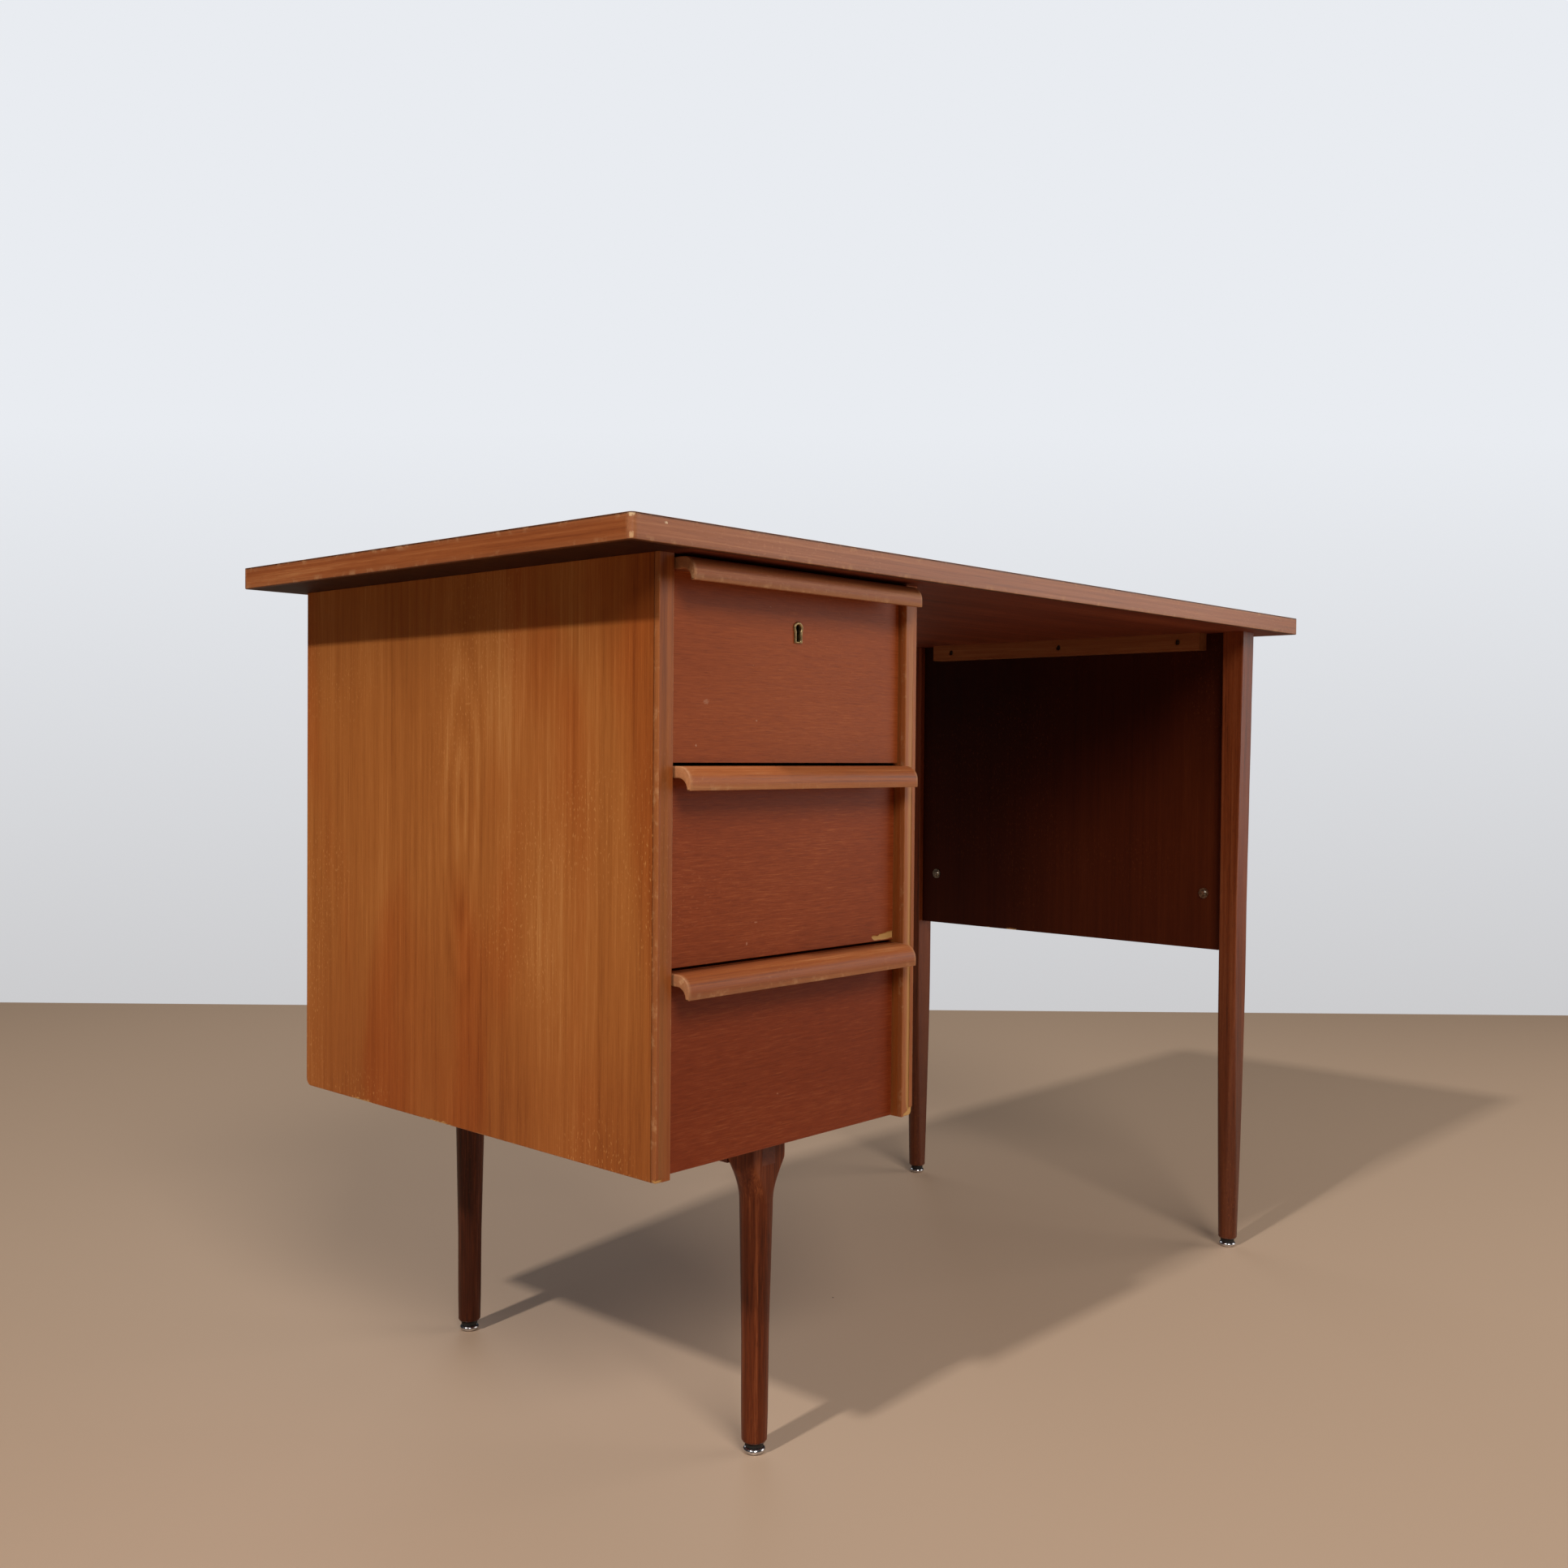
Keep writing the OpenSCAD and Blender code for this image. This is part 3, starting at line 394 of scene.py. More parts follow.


# the bands are darker along their upper edges, and along their lower edges and undersides, where the darkening is
# painted shade under the overhang
bandEdgeLinesAndShade = [drift("z", 0.7428, 0.7442, 0.8, (120, 96, 84)), drift("z", 0.7266, 0.7261, 0.85, (84, 64, 54))]
finishes = {
    "sideVeneer": {"grain": "z", "deep": tone(130, 68, 28), "mid": tone(168, 98, 44), "warm": tone(182, 110, 52),
                   "light": tone(208, 142, 80), "figure": (0.40, 0.42, 0.44, 0.32), "bandScale": 11,
                   "streakScale": 150, "flecks": 0.7, "gloss": 0.16, "rough": 0.5, "pore": 0.14, "worn": 0.4,
                   "blush": tone(244, 214, 196), "rubbed": tone(214, 160, 100),
                   "flame": {"place": (-0.475, 0.008, 0.54), "half": (1.0, 0.018, 0.10), "strength": 0.075,
                             "rings": 8.5},
                   # darker towards the bottom: painted shade; the second drift is a dark joint line behind the
                   # lipping
                   "age": [drift("z", 0.45, 0.27, 0.45, (222, 196, 190)),
                           drift("y", -0.2272, -0.2286, 0.8, (120, 88, 66))]},
    "frontVeneer": {"grain": "x", "deep": tone(104, 42, 15), "mid": tone(150, 71, 30), "warm": tone(162, 80, 37),
                    "light": tone(186, 106, 62), "figure": (0.2, 0.2, 0.62, 0.22), "flecks": 0.3, "gloss": 0.15,
                    "bandScale": 9, "streakScale": 620, "streakRun": 16, "fibreScale": 1200, "fibreRun": 60,
                    "marks": [mark((-0.4195, -0.2268, 0.6180), (0.0042, 0.006, 0.0024), 0.30, (206, 160, 130)),
                              mark((-0.3640, -0.2268, 0.6050), (0.0012, 0.004, 0.0010), 0.5, (206, 160, 130)),
                              mark((-0.4300, -0.2268, 0.5850), (0.0010, 0.004, 0.0012), 0.6, (214, 170, 140)),
                              mark((-0.3700, -0.2238, 0.4300), (0.0012, 0.004, 0.0018), 0.5, (206, 150, 118)),
                              mark((-0.3600, -0.2238, 0.4460), (0.0020, 0.004, 0.0008), 0.45, (206, 150, 118)),
                              mark((-0.3330, -0.2238, 0.3060), (0.0014, 0.004, 0.0010), 0.4, (200, 140, 108))],
                    "poreRun": 120, "rough": 0.42, "pore": 0.36, "worn": 0.25, "rubbed": tone(196, 138, 104)},
    "topVeneer": {"grain": "x", "deep": tone(112, 58, 28), "mid": tone(156, 90, 46), "warm": tone(172, 102, 54),
                  "light": tone(196, 130, 78), "figure": (0.8, 0.5, 0.3, 0.35), "bandScale": 16, "gloss": 0.3,
                  "rough": 0.4, "worn": 0.5, "rubbed": tone(150, 104, 70),
                  "age": [drift("z", 0.7449, 0.7446, 0.95, (78, 60, 52))]},
    "bandAlongX": {"grain": "x", "deep": tone(118, 62, 36), "mid": tone(158, 94, 58), "warm": tone(170, 104, 66),
                   "light": tone(200, 140, 96), "figure": (0.4, 0.75, 0.35, 0.4), "bandScale": 60,
                   "streakScale": 240, "gloss": 0.42, "rough": 0.36, "worn": 0.45, "rubbed": tone(214, 168, 122),
                   "marks": [mark((-0.4985, -0.2657, 0.7405), (0.0022, 0.004, 0.0012), 0.9, (236, 206, 166)),
                             mark((-0.5305, -0.2652, 0.7440), (0.0040, 0.0040, 0.0028), 0.9, (232, 196, 150)),
                             mark((-0.5300, -0.2645, 0.7290), (0.0025, 0.0025, 0.0030), 0.8, (224, 180, 132))],
                   "age": bandEdgeLinesAndShade},
    "bandAlongY": {"grain": "y", "deep": tone(118, 58, 30), "mid": tone(152, 82, 42), "warm": tone(166, 94, 50),
                   "light": tone(196, 130, 80), "figure": (0.4, 0.75, 0.35, 0.4), "bandScale": 60,
                   "streakScale": 240, "gloss": 0.3, "rough": 0.42, "worn": 0.45, "rubbed": tone(214, 168, 122),
                   "age": bandEdgeLinesAndShade},
    "underside": {"grain": "x", "deep": tone(70, 26, 14), "mid": tone(104, 44, 26), "warm": tone(118, 54, 32),
                  "light": tone(150, 78, 50), "figure": (0.6, 0.7, 0.3, 0.3), "bandScale": 26, "gloss": 0.25,
                  # darker on the strip outside the pedestal: painted shade under the left overhang
                  "rough": 0.5, "age": [drift("x", -0.455, -0.480, 1.0, (96, 70, 58))]},
    "pullWood": {"grain": "x", "deep": tone(134, 76, 48), "mid": tone(168, 94, 50), "warm": tone(178, 104, 58),
                 "light": tone(206, 142, 94), "figure": (0.4, 0.7, 0.5, 0.4), "bandScale": 60,
                 "streakScale": 300, "gloss": 0.32, "rough": 0.42, "pore": 0.4, "worn": 0.75, "wornFloor": 0.35,
                 "rubbed": tone(222, 176, 130)},
    "lippingWood": {"grain": "z", "deep": tone(124, 62, 28), "mid": tone(160, 88, 40), "warm": tone(172, 98, 47),
                    "light": tone(200, 138, 94), "figure": (0.45, 0.5, 0.45, 0.4), "bandScale": 70, "gloss": 0.32,
                    # darker towards the bottom: painted shade
                    "age": [drift("z", 0.62, 0.27, 0.6, (226, 214, 206))],
                    "rough": 0.42, "worn": 0.4, "rubbed": tone(216, 168, 120)},
    "legWood": {"grain": "z", "deep": tone(54, 21, 9), "mid": tone(92, 39, 16), "warm": tone(108, 48, 21),
                "light": tone(148, 80, 44), "figure": (0.6, 0.8, 0.7, 0.45), "bandScale": 60,
                "streakScale": 240, "pore": 0.5, "gloss": 0.2, "rough": 0.36, "worn": 0.3,
                "rubbed": tone(150, 92, 60)},
    "railWood": {"grain": "y", "deep": tone(66, 26, 14), "mid": tone(92, 40, 22), "warm": tone(104, 48, 26),
                 "light": tone(130, 70, 42), "figure": (0.5, 0.6, 0.4, 0.4), "bandScale": 60, "gloss": 0.35,
                 "rough": 0.46},
    # darker throughout than the other veneers, darker again on the inner face and towards its top and back: painted
    # shade
    "shadedEndVeneer": {"grain": "z", "deep": tone(72, 28, 11), "mid": tone(104, 45, 20), "warm": tone(116, 54, 25),
                  "light": tone(150, 84, 46), "figure": (0.45, 0.30, 0.3, 0.3), "bandScale": 12, "gloss": 0.16,
                  "rough": 0.46, "flecks": 0.15, "worn": 0.3,
                  "age": [drift("x", 0.4632, 0.4626, 1.0, (198, 182, 172)),
                          drift("z", 0.46, 0.68, 0.9, (176, 160, 158)),
                          drift("y", -0.12, 0.14, 0.9, (186, 168, 162))]},
    "caseVeneer": {"grain": "z", "deep": tone(112, 54, 22), "mid": tone(146, 76, 32), "warm": tone(160, 86, 38),
                   "light": tone(186, 114, 60), "figure": (0.7, 0.5, 0.25, 0.3), "bandScale": 22, "gloss": 0.22,
                   "rough": 0.48, "worn": 0.5},
    "cleatWood": {"grain": "y", "deep": tone(112, 62, 34), "mid": tone(140, 82, 46), "warm": tone(150, 92, 54),
                  "light": tone(178, 122, 78), "figure": (0.4, 0.6, 0.4, 0.4), "bandScale": 60, "gloss": 0.25,
                  "rough": 0.55},
    "birchAlongY": {"grain": "y", "deep": tone(176, 138, 92), "mid": tone(206, 172, 124), "warm": tone(214, 182, 136),
                    "light": tone(230, 206, 166), "figure": (0.5, 0.5, 0.3, 0.3), "bandScale": 36, "gloss": 0.3,
                    "rough": 0.48, "pore": 0.12},
    "birchAlongX": {"grain": "x", "deep": tone(172, 134, 88), "mid": tone(202, 168, 120), "warm": tone(210, 178, 132),
                    "light": tone(228, 202, 160), "figure": (0.6, 0.4, 0.3, 0.3), "bandScale": 14, "gloss": 0.3,
                    "rough": 0.5, "pore": 0.12},
    "birchAlongZ": {"grain": "z", "deep": tone(172, 134, 88), "mid": tone(202, 168, 120), "warm": tone(210, 178, 132),
                    "light": tone(228, 202, 160), "figure": (0.6, 0.4, 0.3, 0.3), "bandScale": 40, "gloss": 0.3,
                    "rough": 0.5, "pore": 0.12},
}
metals = {
    "chromeFinish": {"dark": tone(176, 176, 180), "bright": tone(226, 226, 230), "rough": 0.10, "metal": 1.0},
    "steelFinish": {"dark": tone(120, 118, 114), "bright": tone(176, 174, 170), "rough": 0.32, "metal": 1.0},
    "brassFinish": {"dark": tone(112, 92, 62), "bright": tone(190, 166, 122), "rough": 0.4, "metal": 1.0},
    # dark steel for the lock case and several screws; its darkness is painted shade inside the keyhole and the screw
    # holes
    "shadeDarkSteel": {"dark": tone(52, 46, 40), "bright": tone(96, 88, 78), "rough": 0.4, "metal": 1.0},
    "nutSteel": {"dark": tone(112, 100, 84), "bright": tone(186, 176, 160), "rough": 0.24, "metal": 1.0},
    "blackRubber": {"dark": tone(20, 19, 18), "bright": tone(34, 32, 30), "rough": 0.55, "metal": 0.0},
}
woods = {name: woodFinish(name, look) for name, look in finishes.items()}
metalsMade = {name: metalFinish(name, look) for name, look in metals.items()}
print("finishes ready:", len(woods) + len(metalsMade))


def variant(base, name, shift, **changes):
    # the same veneer cut from another part of the leaf; darker tones passed in here are painted shade, lighter ones a
    # painted sheen
    return woodFinish(name, dict(finishes[base], shift=shift, **changes))


# desktop

desktopLook = {"corner": 4.0, "lowerEdge": 0.9, "upperEdge": 0.25, "veneerEdge": 0.35, "nibble": 0.3}
outer = desktopLook["corner"]
# radii of the corners, how much the edges are eased (left, front, right, back), and the seed of the wear
bandShapes = {"Front": {"finish": "bandAlongX", "radii": (outer, outer, 0, 0), "ease": (1, 1, 1, 0.15), "seed": 3},
              "Back": {"finish": "bandAlongX", "radii": (0, 0, outer, outer), "ease": (1, 0.15, 1, 1), "seed": 4},
              "Left": {"finish": "bandAlongY", "radii": (0, 0, 0, 0), "ease": (1, 0.05, 0.15, 0.05), "seed": 5},
              "Right": {"finish": "bandAlongY", "radii": (0, 0, 0, 0), "ease": (0.15, 0.05, 1, 0.05), "seed": 6}}
for side, shape in bandShapes.items():
    board("desktop" + side + "Band", "desktop_" + side.lower() + "_band", "desk", woods[shape["finish"]],
          "z", shape["radii"], (desktopLook["lowerEdge"], desktopLook["upperEdge"]), shape["ease"], 2.0, (0.4,),
          seed=shape["seed"], nibble=desktopLook["nibble"])
board("desktopTopVeneer", "desktop_top_veneer", "desk", woods["topVeneer"], "z", (outer,) * 4,
      (0.02, desktopLook["veneerEdge"]), (1, 1, 1, 1), 4.0, (0.3, 4.0), seed=7)
print("desktop done")

# pedestal

# chips in mm: a and b are their two ranges in the board's plane, face is -1 for the lower side of its thickness
pedestalLook = {"backCorner": 7.0, "arris": 0.7, "lippingFoot": 4.0,
                "sideChips": [{"a": (20, 60), "b": (262, 264.0), "face": -1, "depth": 0.25, "ragged": 2.2},
                              {"a": (140, 170), "b": (262, 264.2), "face": -1, "depth": 0.25, "ragged": 1.6}],
                "leftLipChips": [{"a": (262, 265.5), "b": (-478, -469), "face": -1, "depth": 0.9, "ragged": 1.8}],
                "rightLipChips": [{"a": (258, 273), "b": (-181, -165), "face": -1, "depth": 1.1, "ragged": 2.4,
                                   "crest": [(0, 0.55), (0.4, 0.7), (1, 1.0)]}]}
arris = pedestalLook["arris"]
sideRadii = (0, pedestalLook["backCorner"], 0, 0)
board("pedestalLeftSide", "pedestal_left_side", "desk", woods["sideVeneer"], "x", sideRadii,
      (arris, 0.3), (0.35, 1, 1, 0.1), 2.0, (0.4, 1.0, 1.8, 3.0), seed=8, nibble=0.2,
      chips=pedestalLook["sideChips"])
board("pedestalRightSide", "pedestal_right_side", "desk", woods["caseVeneer"], "x", sideRadii,
      (0.3, arris), (0.35, 1, 1, 0.1), 3.0, (0.4,), seed=9, nibble=0.2)
board("pedestalLeftLipping", "pedestal_left_lipping", "desk", woods["lippingWood"], "y",
      (1.2, 0.3, 0, 0), (arris, 0.3), (1, 1, 0.1, 1), 1.5, (0.4, 1.0, 2.0), seed=10, nibble=0.5,
      chips=pedestalLook["leftLipChips"])
board("pedestalRightLipping", "pedestal_right_lipping", "desk", woods["lippingWood"], "y",
      (0.3, 0.3, 0, pedestalLook["lippingFoot"]), (arris, 0.3), (1, 1, 0.1, 1), 1.2, (0.4, 1.0, 1.8, 2.8, 4.0),
      seed=12, nibble=0.6, chips=pedestalLook["rightLipChips"])
print("pedestal done")

# drawer fronts and pulls

frontLook = {"arris": 0.5, "setBack": 0.05}
middleLo, middleHi = corners("middle_drawer_front")
# the piece of veneer gone from the lower right corner of the middle front
veneerChip = {"a": (middleLo[2] / mm + 0.6, middleLo[2] / mm + 7.6),
              "b": (middleHi[0] / mm - 29, middleHi[0] / mm + 1), "face": -1, "depth": 0.55, "ragged": 0.35,
              "crest": [(0, 0.62), (0.10, 0.70), (0.30, 0.60), (0.36, 0.80), (0.62, 0.86), (0.74, 1.0), (1, 1.0)],
              "base": [(0, 0.42), (0.06, 0.20), (0.16, 0.02), (0.30, 0.06), (0.55, 0.0), (0.8, 0.10), (1, 0.12)]}
# the middle and bottom fronts get darker tones, the bottom darkest: painted shade
frontShapes = {"middle": {"seed": 21, "pitch": 0.8, "faceRows": tuple(np.arange(0.4, 9, 0.6)), "chips": [veneerChip],
                          "shadeTones": {"mid": tone(136, 59, 24), "warm": tone(150, 69, 31)}},
               "bottom": {"seed": 22, "pitch": 3.0, "faceRows": (0.4,), "chips": [],
                          "shadeTones": {"deep": tone(90, 32, 11), "mid": tone(122, 49, 20), "warm": tone(134, 57, 26),
                                    "light": tone(162, 88, 50)}}}
for level, shape in frontShapes.items():
    seed = shape["seed"]
    veneer = variant("frontVeneer", level + "FrontVeneer", (seed * 1.7, 0.3, seed * 0.9), **shape["shadeTones"])
    board(level + "DrawerFront", level + "_drawer_front", level + "_drawer", veneer, "y", (0.3,) * 4,
          (frontLook["arris"], 0.3), (1, 1, 1, 1), shape["pitch"], shape["faceRows"],
          trim=(frontLook["setBack"], 0, 0), chips=shape["chips"], seed=seed, nibble=0.15)

pullLook = {"reach": 26.0, "drop": 18.0, "root": 9.0, "lip": 3.8, "round": 12.0, "endArris": 0.9, "step": 2.5,
            "wobble": 0.10, "lipWear": 0.8}
# the top pull, under the desktop's overhang, and the bottom pull get darker tones: painted shade
pullShadeTones = {"top": {"deep": tone(116, 66, 42), "mid": tone(150, 84, 48), "warm": tone(160, 94, 54),
                     "light": tone(190, 130, 88)},
             "middle": {},
             "bottom": {"deep": tone(118, 64, 38), "mid": tone(150, 80, 42), "warm": tone(160, 90, 48),
                        "light": tone(190, 126, 80)}}


def pullProfile(shape):
    # walk round the section, forward and up in mm from the upper back corner: over the flat top, round the
    # nose (an arc), down to the lip, across its foot, up the cove (a quarter circle) and back to the root
    reach, drop, root, lip, r = (shape[k] for k in ("reach", "drop", "root", "lip", "round"))
    cove = drop - root
    nose = np.linspace(math.pi / 2, 0, 14)
    hollow = np.linspace(0, math.pi / 2, 12)
    top = np.stack([np.linspace(0, reach - r, 4)[:-1], np.zeros(3)], -1)
    rolled = np.stack([reach - r + r * np.cos(nose), -r + r * np.sin(nose)], -1)
    foot = np.array([[reach, -drop + 0.5], [reach - 0.5, -drop], [reach - lip + 0.3, -drop]])
    scooped = np.stack([reach - lip - cove + cove * np.cos(hollow), -drop + 0.3 + (cove - 0.3) * np.sin(hollow)], -1)
    rear = np.array([[0.0, -root], [0.0, -root / 2]])
    return np.concatenate([top, rolled, foot, scooped, rear])


def pull(level, seed, shape):
    # the section carried along X, drawn inwards by a quarter circle at both ends and a little by noise between
    lo, hi = corners(level + "_drawer_pull")
    section = pullProfile(shape)
    ahead, behind = np.roll(section, -1, 0), np.roll(section, 1, 0)
    run = ahead - behind
    inward = np.stack([run[:, 1], -run[:, 0]], -1)
    inward /= np.linalg.norm(inward, axis=1, keepdims=True)
    e = shape["endArris"]
    arc = np.linspace(0, math.pi / 2, 5)
    ends = e * (1 - np.cos(arc))
    inset = e * (1 - np.sin(arc))
    length = (hi[0] - lo[0]) / mm
    between = np.linspace(e, length - e, int(length / shape["step"]))[1:-1]
    along = np.concatenate([ends, between, length - ends[::-1]])
    shrink = np.concatenate([inset, np.zeros(len(between)), inset[::-1]])
    wobble = noiseLine(along * mm, seed) * shape["wobble"]
    rows = section[None] + inward[None] * (shrink + np.maximum(wobble, 0))[:, None, None]
    x = np.broadcast_to((lo[0] + along * mm)[:, None], rows.shape[:2])
    y = hi[1] - rows[..., 0] * mm
    z = hi[2] + rows[..., 1] * mm
    atEnd = np.concatenate([np.ones(len(arc)), np.zeros(len(between)), np.ones(len(arc))])
    lipEdge = np.zeros(len(section))
    lipEdge[17:20] = shape["lipWear"]  # the three points across the foot of the lip
    wear = np.maximum(atEnd[:, None], lipEdge[None] * np.ones(len(along))[:, None])
    points = np.stack([x, y, z], -1)
    return loopPiece(level + "DrawerPull", points, level + "_drawer", level + "_drawer_pull",
                     variant("pullWood", level + "PullWood", (seed * 2.3, 0.1, 0.2), **pullShadeTones[level]), wear=wear)


for level, seed in (("top", 31), ("middle", 32), ("bottom", 33)):
    pull(level, seed, pullLook)
print("drawer fronts and pulls done")

# legs

roundLeg = {"top": 28.0, "foot": 21.4, "headWidth": 40.0, "headDepth": 28.0, "headHeight": 52.0, "setBack": 0.1,
            "flare": 1.8, "flareShare": 0.7, "crisp": 40}
wearLook = {"from": 60.0, "within": 0.05, "most": 0.7}
# the back leg, under the pedestal, gets darker tones: painted shade
legShadeTones = {"front": {}, "back": {"deep": tone(40, 17, 9), "mid": tone(70, 29, 13), "warm": tone(82, 36, 17),
                                  "light": tone(116, 62, 36)}}


def polarLeg(name, node, limits, centre, heights, crispness, material):
    # every height is a closed loop in polar form about centre: the radius is the smallest of several
    # limits (flat faces and a circle), eased by a power mean so that the arrises are slightly round
    angle = np.linspace(0, 2 * math.pi, 144, endpoint=False)
    radii = np.stack(limits(angle[None], heights[:, None]))
    radius = (radii ** -crispness).sum(0) ** (-1 / crispness)
    tightest = radii.min(0)
    runnerUp = np.sort(radii, axis=0)[1]
    # an arris is where two limits are nearly equal
    onArris = np.clip(1 - (runnerUp - tightest) / (tightest * wearLook["within"]), 0, 1)
    wear = onArris * (heights[:, None] > wearLook["from"]) * wearLook["most"]
    x = centre[0] + radius * mm * np.cos(angle)
    y = centre[1] + radius * mm * np.sin(angle)
    z = np.broadcast_to((heights * mm)[:, None], x.shape)
    rows = np.stack([x, y, z], -1)
    return loopPiece(name, rows, "desk", node, material, wear=wear)


def roundLegLimits(shape, low, high):
    headFrom = high - shape["headHeight"]
    tip = math.hypot(shape["headWidth"], shape["headDepth"]) / 2
    foot, top = shape["foot"] / 2, shape["top"] / 2

    def limits(angle, z):
        # radius of the turning: a short chamfer, a gentle swell, then a flare of power 1.8 in the head
        turning = np.interp(z, [low, low + 1.5, low + 25, low + 90, headFrom],
                            [foot - 1, foot, foot + (top - foot) * 0.15, foot + (top - foot) * 0.25, top])
        rise = np.clip((z - headFrom) / (shape["headHeight"] * shape["flareShare"]), 0, 1)
        flared = top + (tip + 1.0 - top) * rise ** shape["flare"]
        circle = np.where(z > headFrom, flared, turning) * np.ones_like(angle)
        inHead = np.where(z > headFrom - 1, 1.0, 1.6)
        wide = inHead * shape["headWidth"] / 2 / np.maximum(np.abs(np.cos(angle)), 1e-3)
        deep = inHead * (shape["headDepth"] / 2 - shape["setBack"]) / np.maximum(np.abs(np.sin(angle)), 1e-3)
        return circle, wide, deep

    return limits


for side in ("front", "back"):
    node = "pedestal_" + side + "_leg"
    lo, hi = corners(node)
    low, high = lo[2] / mm, hi[2] / mm
    neck = high - roundLeg["headHeight"]
    heights = np.concatenate([[low, low + 0.7, low + 1.5, low + 3], np.linspace(low + 6, neck - 2, 44),
                              np.linspace(neck, high - 0.4, 40), [high]])
    polarLeg("pedestal" + side.title() + "Leg", node, roundLegLimits(roundLeg, low, high), (lo + hi) / 2, heights,
             roundLeg["crisp"], variant("legWood", side + "LegWood", (0.4 if side == "front" else 2.1, 0.7, 0.2),
                                        **legShadeTones[side]))

squareLeg = {"width": 27.0, "depth": 21.5, "swell": 4.0, "swellHeight": 320.0, "footIn": 12.0, "foot": 21.4,
             "taperFrom": 345.0, "crisp": 36}


def squareLegLimits(shape, low, high, outward):
    far = math.hypot(shape["width"] / 2, shape["footIn"]) + 0.5

    def limits(angle, z):
        # two flat flanks, a flat inner face, an outer face that swells to the top, and a cone at the foot
        swell = shape["swell"] * np.clip((z - (high - shape["swellHeight"])) / shape["swellHeight"], 0, 1)
        out = np.sin(angle) * outward
        flank = shape["width"] / 2 / np.maximum(np.abs(np.cos(angle)), 1e-3) * np.ones_like(z)
        outer = (shape["footIn"] + swell) / np.maximum(out, 1e-3)
        inner = (shape["depth"] - shape["footIn"]) / np.maximum(-out, 1e-3) * np.ones_like(z)
        cone = np.interp(z, [low, low + 1.5, shape["taperFrom"], shape["taperFrom"] + 60, high],
                         [shape["foot"] / 2 - 1, shape["foot"] / 2, far, far + 8, far + 30]) * np.ones_like(angle)
        return flank, outer, inner, cone

    return limits


for side, outward in (("front", -1), ("back", 1)):
    node = "right_" + side + "_leg"
    lo, hi = corners(node)
    low, high = lo[2] / mm, hi[2] / mm
    inner = hi[1] if outward < 0 else lo[1]
    centreY = inner + outward * (squareLeg["depth"] - squareLeg["footIn"]) * mm
    heights = np.concatenate([[low, low + 0.7, low + 1.5, low + 3], np.linspace(low + 8, high - 0.4, 110), [high]])
    # the right legs' lighter tones stand in for the sheen on their front faces (painted sheen), and their darkening
    # towards the foot is painted shade
    polarLeg("right" + side.title() + "Leg", node, squareLegLimits(squareLeg, low, high, outward),
             ((lo[0] + hi[0]) / 2, centreY), heights, squareLeg["crisp"],
             variant("legWood", "right" + side.title() + "LegWood", (5.4 if side == "front" else 7.1, 0.7, 0.2),
                     gloss=0.4, mid=tone(122, 56, 25), warm=tone(134, 65, 31),
                     age=[drift("z", 0.42, 0.1, 0.8, (158, 148, 142))]))
print("legs done")

# end panel

panelFoot = corners("end_panel")[0][2] / mm
endLook = {"arris": 0.5,
           "chips": [{"a": (76.0, 91.0), "b": (panelFoot - 1, panelFoot + 1.7), "face": -1, "depth": 0.4,
                      "ragged": 1.0},
                     {"a": (118, 124), "b": (panelFoot - 1, panelFoot + 0.8), "face": -1, "depth": 0.4,
                      "ragged": 0.6}]}
board("endPanel", "end_panel", "desk", woods["shadedEndVeneer"], "x", (0.3,) * 4, (endLook["arris"],) * 2,
      (0.1, 1, 0.1, 0.1), 1.5, (0.4, 1.0, 1.6, 2.2, 2.8, 3.4), seed=41, nibble=0.3, chips=endLook["chips"])
print("end panel done")

# glides

glideLook = {"disc": [(0.5, 0.0), (6.2, 0.0), (7.4, 0.25), (8.4, 0.9), (9.1, 1.7), (9.4, 2.5), (9.4, 3.4), (9.1, 4.1),
                      (8.4, 4.8), (7.6, 5.2), (6.6, 5.45), (0.5, 5.5)],
             "collar": [(1.6, 5.5), (7.2, 5.5), (7.6, 5.7), (7.75, 6.1), (7.75, 9.4), (7.6, 9.8), (7.2, 10.0),
                        (1.6, 10.0)], "steps": 48}
feet = []
for node in ("pedestal_front_leg", "pedestal_back_leg"):
    lo, hi = corners(node)
    feet.append(((lo[0] + hi[0]) / 2, (lo[1] + hi[1]) / 2, 0.0))
for node, outward in (("right_front_leg", -1), ("right_back_leg", 1)):
    lo, hi = corners(node)
    inner = hi[1] if outward < 0 else lo[1]
    feet.append(((lo[0] + hi[0]) / 2, inner + outward * (squareLeg["depth"] - squareLeg["footIn"]) * mm, 0.0))
for name, node, part, slot, finish in (("glideDiscs", "glide_discs", "disc", "chrome", "chromeFinish"),
                                       ("glideCollars", "glide_collars", "collar", "black_plastic", "blackRubber")):
    points, faces = merge([turned(glideLook[part], place, glideLook["steps"]) for place in feet])
    finishPiece(name, points, faces, "desk", node, metalsMade[finish])
print("glides done")

# keyhole plate

plateLook = {"round": 6.0, "slot": 4.4, "down": 10.4, "rim": 2.0, "lap": 0.6, "proud": 1.5, "deep": 6.0}


